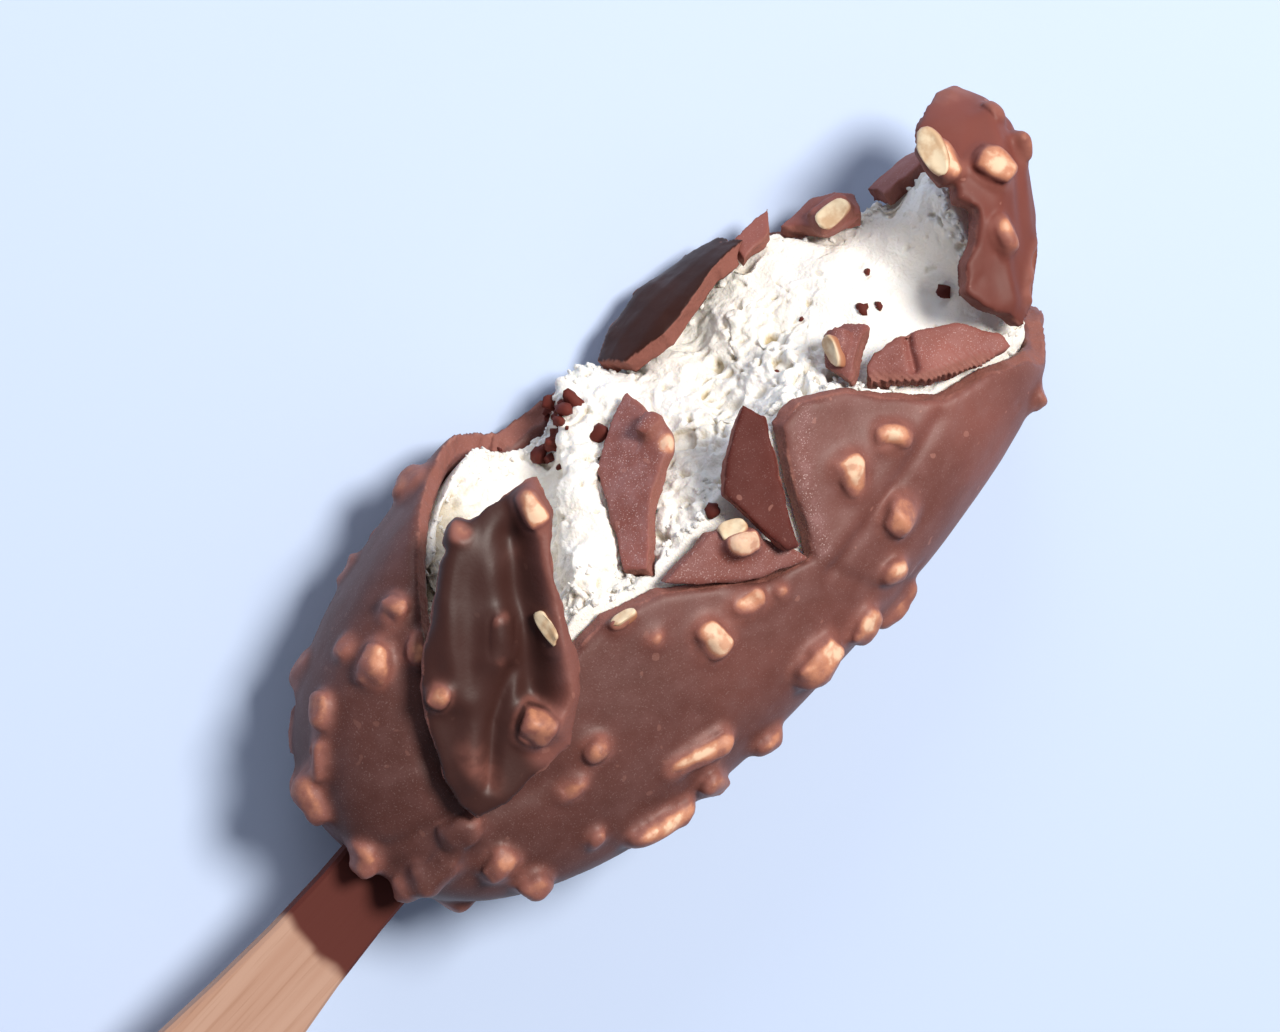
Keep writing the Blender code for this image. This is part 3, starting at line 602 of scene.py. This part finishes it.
def film_piece(node, name, cell, rounds, waves=0.22, frost=0.0, forms=(), frosted_line=None,
               lit_line=None, nut_share=1.0, bare=(), covered=(), melted=()):
    """Rebuilds a piece of coat that follows the bar's form, from cells of that many millimetres.

    forms are ridges and creases: a line through points, its width, and its height, less than 0
    for a crease. Along frosted_line the film is frosted. The piece gets a painted shade, darker
    towards the stick end; with a lit_line it is painted shade all over but the line, which gets a
    painted highlight in the paler colour of a broken edge. Lines through nuts say which are bare,
    which are covered by film, and which melted down into it. nut_share weakens the tint of all nuts
    of the piece.
    """
    piece = copy_of(node, name)
    remesh(piece, cell)
    begin = start_coat if node == "coat" else start_loose
    points, normals, edges, out, facing, rise, edge = begin(piece)
    broken = ramp(spread(edge.astype(float), edges, 2), 0.35, 0.75)
    rise = np.where(facing > -0.2, rise, 0.0) * (1 - broken)
    points = relax(points, edges, rounds, 1.0 - 0.65 * broken)
    outside = ramp(facing, 0.2, 0.6)
    lift = waves * soft_noise(points, 11.0, 3) + 0.35 * waves * soft_noise(points, 4.2, 5)
    stand = np.clip(rise, 0.0, NUT_HIGHEST)
    foot = spread(stand, edges, 26)
    if node != "coat":
        points = relax(points, edges, 8, ramp(foot, 0.05, 0.3) * (1 - broken))
    for line in melted:
        soft = near_line(points, line, MELTED_REACH)
        points = relax(points, edges, MELTED_ROUNDS, soft * (1 - broken))
        rise, stand, foot = rise * (1 - soft), stand * (1 - soft), foot * (1 - soft)
    raised = 0.6 * np.maximum(1.6 * foot - stand, 0.0) * ramp(foot, 0.03, 0.2)
    for line, width, rising in forms:
        raised += rising * near_line(points, line, width)
    points = points + out * (raised * ramp(facing, -0.35, 0.1))[:, None]
    on_nut = ramp(rise, 0.15, 0.6)
    lumps = 0.42 - 1.1 * np.abs(soft_noise(points, 2.6, 12)) + 0.24 * soft_noise(points, 1.3, 14)
    lift += on_nut * lumps
    lift -= 0.14 * ramp(soft_noise(points, 2.1, 8), 0.72, 0.9) * (1 - broken) * (1 - on_nut)
    points = points + normals * (lift * outside)[:, None]
    points = relax(points, edges, 3, (1 - broken) * outside)
    ragged = 0.22 * soft_noise(points, 2.0, 17) + 0.16 * rough_noise(points, 0.9, 4)
    points += normals * (broken * ragged)[:, None]
    keep_in_reach(points)
    nut = nut_tint(points, normals, edges, rise, foot, outside, bare, covered)
    nut = np.clip(spread(nut * nut_share, edges, 2), 0, 1)
    frosted = np.full(len(points), frost)
    if frosted_line:
        frosted = np.maximum(frosted, 0.9 * near_line(points, frosted_line, 1.0))
    # Painted shade: the film gets darker towards the stick end, away from the key lamp, and less on nuts.
    shade = ramp(-points[:, 0], -30.0, 44.0) * 0.68
    # With a lit line the piece is painted shade but the line, and the line gets a painted highlight.
    if lit_line:
        broken = np.maximum(broken, 0.55 * near_line(points, lit_line, 1.4) * outside)
        shade = 1 - ramp(near_line(points, lit_line, 2.2), 0.1, 0.75)
    finish_chocolate(piece, points, broken, nut, frosted, shade * (1 - 0.45 * nut))
    return piece


# %% [markdown]
# Each dressed piece takes the place of its solid. The solid is hidden, the piece gets a slot of its
# own so that its finish can be changed later, and it rides on the bar's one body.

# %% Put a piece in its place
def place(piece, node, finish):
    """Gives a piece its finish, hides the solid it stands for and lets it ride."""
    piece.data.materials.clear()
    piece.data.materials.append(finish)
    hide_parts(node)
    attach(piece, "root")
    triangles = sum(len(face.vertices) - 2 for face in piece.data.polygons)
    print(piece.name, len(piece.data.vertices), "points", triangles, "triangles")


# %% [markdown]
# The dipped film has folds and creases of its own, where it ran and where it cracked. They could be
# cut into the solid, but they are soft and low. So each is a line along the surface with a width and
# a height: raised for a fold, less than nothing for a crease. Some nuts are bare along a line too.

# %% Coat
COAT_FORMS = [
    ([(22.6, -9.3, 24.4), (12.1, -10.9, 24.7), (3.9, -11.7, 24.7)], 0.7, -0.3),
    ([(22.0, -8.0, 24.8), (12.1, -9.4, 25.2), (4.5, -10.2, 25.2)], 1.1, 0.25),
    ([(3.9, -11.7, 24.7), (5.6, -16.4, 23.2), (8.9, -19.9, 20.6), (11.7, -21.9, 17.8)], 0.8, -0.35),
    ([(17.2, -2.0, 25.6), (21.0, -7.0, 25.0)], 2.6, -0.45),
    ([(-28.4, -15.3, 21.9), (-22.4, -18.9, 20.3), (-18.0, -22.5, 17.7)], 1.3, 0.55),
    ([(-47.7, 0.4, 16.6), (-47.2, -3.0, 17.3), (-44.8, -4.0, 19.5), (-39.0, -3.5, 22.2)], 1.0, 0.85),
    ([(-45.7, 1.2, 19.0), (-43.6, 0.3, 20.4), (-40.6, -0.4, 21.7), (-38.0, -1.7, 22.5)], 0.8, -0.6),
    ([(-36.6, 5.0, 22.8), (-36.8, 1.0, 23.4), (-35.4, -3.4, 23.4), (-30.0, -5.0, 24.0)], 1.3, -0.5),
]
LONG_NUTS = [([(-21.9, -13.5), (-14.0, -15.6)], 0.2), ([(-28.4, -15.7), (-22.4, -18.9)], 0.2)]
COVERED_NUTS = [[(-44.6, -3.4), (-39.6, -2.1)]]
GAP_EDGE = [(12.5, 1.6, 25.4), (8.2, -2.4, 25.4), (4.4, -9.3, 25.0)]
coat = film_piece(
    "coat", "coat_film", 0.33, 2, frost=0.12, forms=COAT_FORMS, frosted_line=GAP_EDGE,
    bare=LONG_NUTS, covered=COVERED_NUTS,
)
place(coat, "coat", film_finish)

# %% [markdown]
# The bite bent two large pieces of coat up: a flap on the left and a curl at the far tip. Both have
# the coat's film and nuts, so the same builder makes them, with lines of their own. The flap has a
# high ridge with a hollow beside it. It is darkened all over by a painted shade, apart from a lip that
# gets a painted highlight in the colour of a broken edge, where it catches the light.

# %% Flap and curl
FLAP_RIDGE = [(-12.9, 17.0), (-17.2, 10.6), (-22.0, 3.5), (-23.7, 0.9), (-27.0, -0.6)]
FLAP_HOLLOW = [(-17.0, 15.4), (-19.8, 12.0), (-24.2, 5.6), (-26.4, 2.6)]
FLAP_FORMS = [
    (FLAP_RIDGE, 1.2, 1.4),
    (FLAP_HOLLOW, 1.6, -1.6),
    ([(-26.0, 6.4), (-30.3, 4.1), (-35.0, 0.0)], 0.7, -0.7),
    ([(-27.4, 8.6), (-32.0, 5.6), (-36.0, 1.6)], 1.2, 0.5),
    ([(-21.2, 18.7), (-25.5, 15.6), (-28.6, 12.1), (-31.3, 7.9)], 1.3, 0.7),
]
FLAP_BARE = [([(-14.2, 16.4), (-15.4, 14.8)], 0.9), ([(-20.2, 18.1), (-20.0, 17.8)], 0.5)]
FLAP_MELTED = [[(-26.6, 10.6), (-22.8, 8.0)], [(-22.6, 7.2), (-20.6, 5.2)]]
CURL_FOLD = [(48.5, 6.6, 19.4), (46.6, 4.1, 21.4), (44.3, 2.1, 23.3), (40.5, -2.5, 23.3), (36.8, -7.2, 22.6)]
CURL_FORMS = [
    (CURL_FOLD, 1.1, 0.6),
    ([(49.5, 3.8, 19.0), (46.6, 0.2, 21.0), (43.0, -4.6, 22.0)], 1.2, -0.5),
    ([(41.0, 6.0, 23.5), (39.5, 0.5, 24.0)], 1.6, 0.3),
]
FLAP_LIP = [(-11.6, 16.8), (-16.4, 10.2), (-21.2, 3.0), (-23.4, 0.0), (-28.5, -1.6)]
flap = film_piece(
    "left_flap", "flap_film", 0.26, 7, forms=FLAP_FORMS, lit_line=FLAP_LIP,
    bare=FLAP_BARE, melted=FLAP_MELTED,
)
place(flap, "left_flap", film_finish)
place(film_piece("tip_curl", "curl_film", 0.26, 4, forms=CURL_FORMS), "tip_curl", curl_finish)

# %% [markdown]
# Two plates of coat cracked at the front of the bite, and one slid under the other. They are thin and
# nearly flat, with hardly any waves. The lower one is frosted and shows a nut, the upper one is plum.

# %% The two plates at the front break
PLATE_NUT = [([(-1.0, -0.8), (-0.2, -0.4)], 0.7)]
low_plate = film_piece("low_plate", "low_plate_film", 0.2, 3, waves=0.05, frost=0.5, bare=PLATE_NUT)
place(low_plate, "low_plate", shard_finish)
WEDGE_FORMS = [([(6.5, 3.2, 26.0), (3.4, -1.5, 26.5)], 1.8, -0.3)]
wedge = film_piece(
    "wedge", "wedge_film", 0.2, 3, waves=0.08, frost=0.08, forms=WEDGE_FORMS, nut_share=0.2
)
place(wedge, "wedge", plate_finish)

# %% [markdown]
# The loose shards lie at all angles, so the bar's form says nothing about them. Each one is nearly
# flat, and its thinnest direction tells its two faces from its broken rim. The rim is dull and rough,
# and frost covers the faces. One shard shows ribs, which a wave along its length gives.

# %% Build the loose shards
SHARD_CELL = 0.2
EVERY_SEVENTH = 7
RIB_PITCH = 12.0


def shard(node, name, frost=0.8, nut_at=None, nut_size=2.4, forms=(), ribs=None):
    """Rebuilds a flat loose piece. A nut stands at nut_at, and ribs run across the line ribs."""
    piece = copy_of(node, name)
    remesh(piece, SHARD_CELL)
    points, normals, edges = read(piece)
    middle = points.mean(0)
    flat = np.linalg.svd((points - middle)[::EVERY_SEVENTH], full_matrices=False)[2][2]
    facing = np.abs(normals @ flat)
    broken = ramp(spread((facing < 0.6).astype(float), edges, 2), 0.35, 0.75)
    points = relax(points, edges, 3, 1.0 - 0.5 * broken)
    lift = 0.1 * soft_noise(points, 4.0, 3) + 0.05 * rough_noise(points, 1.2, 9)
    for line, width, rising in forms:
        lift += rising * near_line(points, line, width)
    if ribs:
        ribbed = near_line(points, ribs, 1.3)
        wave = np.sin(points[:, 0] * RIB_PITCH + 2.0 * soft_noise(points, 1.2, 2))
        lift -= 0.13 * ribbed * (1 + wave)
        broken = np.maximum(broken, ramp(ribbed, 0.3, 0.6))
    ragged = 0.2 * soft_noise(points, 1.8, 17) + 0.14 * rough_noise(points, 0.8, 4)
    points = points + normals * (lift + broken * ragged)[:, None]
    nut = np.zeros(len(points))
    if nut_at is not None:
        close = np.linalg.norm(points - np.array(nut_at), axis=1)
        points = relax(points, edges, 30, ramp(nut_size + 1.6 - close, 0.0, 1.2))
        nut = 0.85 * ramp(nut_size - close, 0.0, 1.2)
    rim = ramp(spread(broken, edges, 16), 0.02, 0.3)
    finish_chocolate(piece, points, broken * (1 - nut), nut, frost * (1 - 0.75 * rim))
    return piece


place(shard("leaf", "leaf_shard", nut_at=(2.3, 8.0, 18.9), nut_size=1.9), "leaf", shard_finish)
BOAT_CRACK = [(27.0, -1.2, 21.9), (25.5, -2.8, 22.9), (24.3, -4.2, 23.6)]
BOAT_UNDERSIDE = [(20.6, -2.6, 22.6), (22.6, -5.0, 23.2), (25.6, -7.0, 24.2), (30.0, -9.4, 23.8)]
boat = shard("boat", "boat_shard", frost=0.45, forms=[(BOAT_CRACK, 0.4, -0.7)], ribs=BOAT_UNDERSIDE)
place(boat, "boat", shard_finish)
place(shard("boat_end", "boat_end_shard", frost=0.6), "boat_end", shard_finish)
# The back shard's near-black finish is a painted shade.
place(shard("back_shard", "back_dark_shard", frost=0.0), "back_shard", shaded_shard_finish)
place(shard("back_tip", "back_tip_shard", frost=0.2), "back_tip", shard_finish)
place(shard("back_nut_piece", "back_nut_shard", frost=0.1), "back_nut_piece", shard_finish)
place(shard("back_edge", "back_edge_shard", frost=0.2), "back_edge", shard_finish)

# %% [markdown]
# Ice cream is white with a warm tinge, dull, and lets light a little way in. A plain white would look
# like plaster, so some light scatters under the surface, the deep tears get a warm painted shade, and a
# fine bump stands for ice grains that are too small to model.

# %% The ice cream's finish
WARM_WHITE = (0.91, 0.88, 0.82)
COOL_WHITE = (0.93, 0.915, 0.885)
TEAR_SHADE = (0.54, 0.44, 0.27)
cream_finish, cream_tree, cream_shader = start_material("ice_cream", 0.78)
hollow = add(cream_tree, "ShaderNodeAttribute", attribute_name="hollow").outputs["Fac"]
tone = between(cream_tree, speckle(cream_tree, 7.0, 3.0).outputs["Fac"], 0.35, 0.7)
cream_colour = mix(cream_tree, tone, WARM_WHITE, COOL_WHITE)
# The hollow attribute is a painted shade: deep tears, the cavity and the curl's foot turn warm brown.
cream_colour = mix(cream_tree, hollow, cream_colour, TEAR_SHADE)
cream_tree.links.new(cream_colour, cream_shader.inputs["Base Color"])
cream_shader.inputs["Subsurface Weight"].default_value = 0.2
cream_shader.inputs["Subsurface Radius"].default_value = (1.0, 0.75, 0.5)
cream_shader.inputs["Subsurface Scale"].default_value = 0.0012
ice = speckle(cream_tree, 0.35, 3.0).outputs["Fac"]
cream_bump = add(cream_tree, "ShaderNodeBump", {"Strength": 0.9, "Distance": 0.0002, "Height": ice})
cream_tree.links.new(cream_bump.outputs["Normal"], cream_shader.inputs["Normal"])

# %% [markdown]
# Ice cream tears where it is bitten: smooth creamy swells, crumbly lumps and fine pores. A bump in the
# material alone would leave the outline smooth, and sculpting can't be repeated by a script. So the
# bitten face gets very fine cells and several layers of noise, rougher at the rim and in the valley,
# and calmer near the tip. One layer is stretched down the slope, as teeth drag the cream. The side
# under the coat stays coarse.

# %% Tear the ice cream
CREAM_INSET = 2.5
CREAM_CELL = 0.24
SLOPE_UP = np.array([0.0, 0.8, 0.6])
SLOPE_DOWN = np.array([0.0, 0.6, -0.8])
cream = copy_of("cream", "torn_cream")
remesh(cream, CREAM_CELL)
points, normals, edges = read(cream)
height = over_bar(points)[0]
bitten = height < -CREAM_INSET - 0.5
near = spread(bitten.astype(float), edges, 8) > 0.01
thin_out(cream, ~near, 0.04)
points, normals, edges = read(cream)
height = over_bar(points)[0]
bitten = ramp(-height, CREAM_INSET + 0.15, CREAM_INSET + 0.9)
down = points @ SLOPE_DOWN
points = relax(points, edges, 5, bitten)
VALLEY_LINE = [(24.4, 7.5, 10.9), (20.3, 6.6, 12.3), (15.7, 7.0, 13.2), (11.9, 5.9, 13.9), (6.6, 6.4, 16.5)]
CAVITY_LINE = [(-31.0, 12.0), (-26.0, 16.5), (-19.0, 18.5)]
valley = near_line(points, VALLEY_LINE, 4.0)
cavity = near_line(points, CAVITY_LINE, 3.5)
CURL_FOOT = [(38.6, 9.6), (37.4, 5.0), (38.0, 0.0), (39.0, -4.0)]
curl_foot = near_line(points, CURL_FOOT, 1.7)
rim = ramp(height, -5.5, -3.0)
calm = ramp(points[:, 0], 18.0, 27.0) * (1 - rim)
patches = ramp(soft_noise(points, 5.0, 21), -0.2, 0.5)
tearing = 0.4 + 0.7 * patches + 0.7 * valley + 0.6 * rim - 0.65 * calm + 0.5 * curl_foot
tearing = np.clip(tearing, 0.1, 1.4)
drape = np.stack([points[:, 0], down * 0.22, points @ SLOPE_UP * 0.5], axis=1)
twist = np.stack([soft_noise(points, 1.7, seed) for seed in (81, 82, 83)], axis=1)
twisted = points + 0.8 * twist
lift = 0.6 * soft_noise(points, 6.0, 11) + 0.35 * soft_noise(drape, 1.8, 31)
lift = lift - 0.8 * valley - 1.8 * cavity
lift += (0.4 * rough_noise(twisted, 1.8, 41, 4) + 0.42 * soft_noise(twisted, 0.65, 61)) * tearing
lift -= 0.6 * ramp(soft_noise(twisted, 1.3, 71), 0.4, 0.7) * (0.3 + tearing)
points = points + normals * ((lift - 0.2) * bitten)[:, None]
write(cream, points)
mean = relax(points, edges, 6)
dip = ((mean - points) * normals).sum(1)
# Painted shade in the crevices, the valley, the cavity beside the flap and the foot of the curl.
deep = ramp(dip, 0.03, 0.28) * (0.5 + 0.5 * valley) + 0.06 * valley + 0.7 * cavity + 0.15 * curl_foot
store(cream, "hollow", deep * bitten)
place(cream, "cream", cream_finish)

# %% [markdown]
# Small things make the break read as food: nuts cut through by the bite, crumbs of ice cream along
# its ragged rim, and crumbs of chocolate that fell on it. A particle system could scatter copies, but
# copies look alike. So one round seed shape is bent anew for each, and all of a kind are one mesh.

# %% Helpers for small pieces
def seed_shape(level):
    """Points and faces of a ball of radius 1."""
    ball = bmesh.new()
    bmesh.ops.create_icosphere(ball, subdivisions=level, radius=1.0)
    spots = np.array([vert.co[:] for vert in ball.verts])
    faces = np.array([[vert.index for vert in face.verts] for face in ball.faces])
    ball.free()
    return spots, faces


def upright(normal, heading):
    """Three axes: along a heading, across it, and out of the surface."""
    along = heading - normal * heading.dot(normal)
    along.normalize()
    return np.array([along, normal.cross(along), normal])


def joined(name, parts):
    """One mesh from many pairs of points and faces."""
    start, spots, faces = 0, [], []
    for part_spots, part_faces in parts:
        spots.append(part_spots * MM)
        faces.append(part_faces + start)
        start += len(part_spots)
    mesh = bpy.data.meshes.new(name)
    mesh.from_pydata(np.concatenate(spots).tolist(), [], np.concatenate(faces).tolist())
    mesh.shade_smooth()
    piece = bpy.data.objects.new(name, mesh)
    bpy.context.scene.collection.objects.link(piece)
    return piece


def ride_along(piece, finish):
    """Gives a group of small pieces its finish and lets it ride, with no solid hidden."""
    piece.data.materials.append(finish)
    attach(piece, "root")
    print(piece.name, len(piece.data.polygons), "faces")


# %% [markdown]
# Where the bite cut a nut through, it shows a pale flat face inside a thin brown skin. Each one is a
# ball pressed into a blunt chunk, cut flat on the side that faces the camera and set into its host.

# %% Nuts that the bite cut through
NUT_LEVEL = 3
MEAT_BROWN = (0.60, 0.40, 0.235)
MEAT_CREAM = (0.80, 0.66, 0.46)
NUT_SKIN = (0.42, 0.17, 0.09)
CHUNK_POWER = 0.72
CUT_HEIGHT = 0.42
NUT_HALF_DEPTH = 0.9
meat, meat_tree, meat_shader = start_material("nut_meat", 0.5)
rind = add(meat_tree, "ShaderNodeAttribute", attribute_name="rind").outputs["Fac"]
meat_tone = between(meat_tree, speckle(meat_tree, 1.5, 3.0).outputs["Fac"], 0.35, 0.65)
meat_colour = mix(meat_tree, meat_tone, MEAT_BROWN, MEAT_CREAM)
meat_colour = mix(meat_tree, rind, meat_colour, NUT_SKIN)
meat_tree.links.new(meat_colour, meat_shader.inputs["Base Color"])

# Host piece, place, heading in the picture in degrees, length, width and how far it stands out
CUT_NUTS = [
    ("curl_film", (41.3, 8.8, 22.2), -63, 6.0, 2.6, 0.35),
    ("back_nut_shard", (33.2, 9.0, 9.6), 34, 4.0, 2.5, 0.2),
    ("flap_film", (-20.8, 7.0, 28.9), -58, 3.8, 1.6, 0.3),
    ("coat_film", (-14.6, 1.5, 26.2), 42, 2.8, 1.3, 0.2),
    ("low_plate_film", (-1.0, -0.6, 26.4), 25, 3.2, 2.2, 0.45),
    ("boat_end_shard", (19.9, 2.6, 21.9), -62, 3.6, 1.6, 0.35),
]
ball_spots, ball_faces = seed_shape(NUT_LEVEL)
cut_nuts, rinds = [], []
for number, (host, at, turn, length, width, proud) in enumerate(CUT_NUTS):
    near_spot, normal = bpy.data.objects[host].closest_point_on_mesh(Vector(at) * MM)[1:3]
    turn = math.radians(turn)
    axes = upright((normal + back * 0.6).normalized(), right * math.cos(turn) + up * math.sin(turn))
    chunk = np.sign(ball_spots) * np.abs(ball_spots) ** CHUNK_POWER
    shape = chunk * (0.9 + 0.22 * soft_noise(ball_spots * 2, 1.5, number)[:, None])
    rind_share = 1 - ramp(shape[:, 2], -0.1, CUT_HEIGHT)
    cut_face = CUT_HEIGHT + 0.14 * soft_noise(shape * 2.2, 1.0, number + 20)
    shape[:, 2] = np.minimum(shape[:, 2], cut_face)
    shape[:, 1] *= 1 - 0.22 * shape[:, 0]
    shape = shape * (length / 2, width / 2, NUT_HALF_DEPTH)
    spots = shape @ axes + np.array(near_spot) / MM + axes[2] * (proud - 0.4)
    cut_nuts.append((spots, ball_faces))
    rinds.append(rind_share)
nut_piece = joined("cut_nuts", cut_nuts)
store(nut_piece, "rind", np.concatenate(rinds))
ride_along(nut_piece, meat)

# %% [markdown]
# Torn ice cream leaves small rough lumps along the rim of the bite. Noise alone can't stand them
# clear of the surface, so they are lumps of their own. Places are drawn from the points of the cream
# just under the coat, always from the same seed, so that every run gives the same crumbs.

# %% Crumbs of ice cream along the rim
CRUMB_SEED = 5
CRUMB_LEVEL = 2
RIM_DEEP, RIM_SHALLOW = -5.2, -2.2
LOWEST_CRUMB = 4.0
draw = np.random.default_rng(CRUMB_SEED)
crumb_spots, crumb_faces = seed_shape(CRUMB_LEVEL)
spots, outwards = read(cream)[:2]
over, out = over_bar(spots)
along_rim = (over > RIM_DEEP) & (over < RIM_SHALLOW) & ((outwards * out).sum(1) < 0.9)
ragged = np.flatnonzero(along_rim & (spots[:, 2] > LOWEST_CRUMB))
print("places for crumbs:", len(ragged))


def crumb(at, size, number):
    """A small rough lump about a place."""
    shape = crumb_spots * (1 + 0.6 * soft_noise(crumb_spots * 1.4, 1.0, number)[:, None])
    shape = shape * draw.uniform(0.5, 1.3, 3)
    return shape * size + at, crumb_faces


CREAM_CRUMBS = 460
chosen = draw.choice(ragged, CREAM_CRUMBS)
sizes_mm = draw.uniform(0.14, 0.42, CREAM_CRUMBS)
lumps_on_rim = [
    crumb(spots[index] + outwards[index] * size * 0.15, size, index)
    for index, size in zip(chosen, sizes_mm)
]
ride_along(joined("cream_crumbs", lumps_on_rim), cream_finish)

# %% [markdown]
# A few crumbs of chocolate fell on the ice cream, and a small heap of them lies at the back of the
# bite. The single ones are placed one by one. The heap is drawn about one place, and every crumb is
# then set down on the nearest spot of the torn surface, so that none hangs in the air.

# %% Crumbs of chocolate on the ice cream
# Place and size of the single crumbs
CHOCOLATE_CRUMBS = [
    (31.6, 2.4, 10.5, 0.5), (27.2, 1.3, 14.3, 0.55), (-0.3, 1.3, 23.1, 0.7), (28.9, 0.1, 14.3, 0.5),
    (34.7, -3.7, 15.0, 0.75), (37.5, -6.0, 16.5, 0.5), (22.5, 5.0, 12.5, 0.3), (15.0, 3.0, 15.5, 0.25),
]
HEAP = np.array((-2.6, 14.2, 7.2))
HEAP_CRUMBS = 26
HEAP_SPREAD = 1.5
CHOCOLATE_NOISE = 700
parts = []
for number in range(len(CHOCOLATE_CRUMBS) + HEAP_CRUMBS):
    if number < len(CHOCOLATE_CRUMBS):
        at, size = np.array(CHOCOLATE_CRUMBS[number][:3]), CHOCOLATE_CRUMBS[number][3]
    else:
        at, size = HEAP + draw.normal(0, HEAP_SPREAD, 3), draw.uniform(0.3, 1.1)
    near_spot, normal = cream.closest_point_on_mesh(Vector(at) * MM)[1:3]
    at = np.array(near_spot) / MM + np.array(normal) * size * 0.3
    parts.append(crumb(at, size, number + CHOCOLATE_NOISE))
ride_along(joined("chocolate_crumbs", parts), plate_finish)

# %% [markdown]
# The stick's solid has the right shape, so only its finish is made: pale birch with fine long fibres,
# and a painted shadow of the bar where it comes out of the bar. Fibres come from noise that is
# stretched along the stick, which needs no picture of wood and has no seams.

# %% The wood's finish
STICK_TURN = math.radians(-2.1)
ALONG_FIBRES = (0.035, 1.0, 1.0)
WOOD_RED, WOOD_PALE = (0.45, 0.262, 0.187), (0.50, 0.31, 0.23)
FIBRE_BROWN = (0.34, 0.18, 0.115)
BAR_SHADOW_BROWN = (0.10, 0.022, 0.016)
BAR_SHADOW_END, BAR_SHADOW_START = -0.0560, -0.0545
wood, wood_tree, wood_shader = start_material("wood", 0.68)
wood_shader.inputs["Specular IOR Level"].default_value = 0.2
spot = add(wood_tree, "ShaderNodeTexCoord").outputs["Object"]
turned = add(wood_tree, "ShaderNodeMapping", {"Vector": spot, "Scale": ALONG_FIBRES})
turned.inputs["Rotation"].default_value = (0.0, 0.0, STICK_TURN)
grain_place = turned.outputs["Vector"]
fine = {"Vector": grain_place, "Scale": 2600.0, "Detail": 3.0}
fibres = add(wood_tree, "ShaderNodeTexNoise", fine).outputs["Fac"]
broad = {"Vector": grain_place, "Scale": 500.0, "Detail": 2.0}
bands = add(wood_tree, "ShaderNodeTexNoise", broad).outputs["Fac"]
pale = mix(wood_tree, between(wood_tree, bands, 0.35, 0.65), WOOD_RED, WOOD_PALE)
pale = mix(wood_tree, between(wood_tree, fibres, 0.55, 0.75, 0.0, 0.45), pale, FIBRE_BROWN)
on_stick = add(wood_tree, "ShaderNodeSeparateXYZ", {"Vector": spot})
wobble = speckle(wood_tree, 5.0, 2.0).outputs["Fac"]
wobble = math_node(wood_tree, "MULTIPLY", wobble, 0.003)
reach = math_node(wood_tree, "ADD", on_stick.outputs["X"], wobble)
# A painted shadow of the bar: the stick turns dark brown near the bar, with a wavy border.
bar_shadow = between(wood_tree, reach, BAR_SHADOW_END, BAR_SHADOW_START)
pale = mix(wood_tree, bar_shadow, pale, BAR_SHADOW_BROWN)
wood_tree.links.new(pale, wood_shader.inputs["Base Color"])
wood_bump = add(wood_tree, "ShaderNodeBump", {"Strength": 0.3, "Distance": 0.0001, "Height": fibres})
wood_tree.links.new(wood_bump.outputs["Normal"], wood_shader.inputs["Normal"])
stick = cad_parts["stick"]
for material_slot in stick.material_slots:
    material_slot.material = wood
print(stick.name, "wears", wood.name)
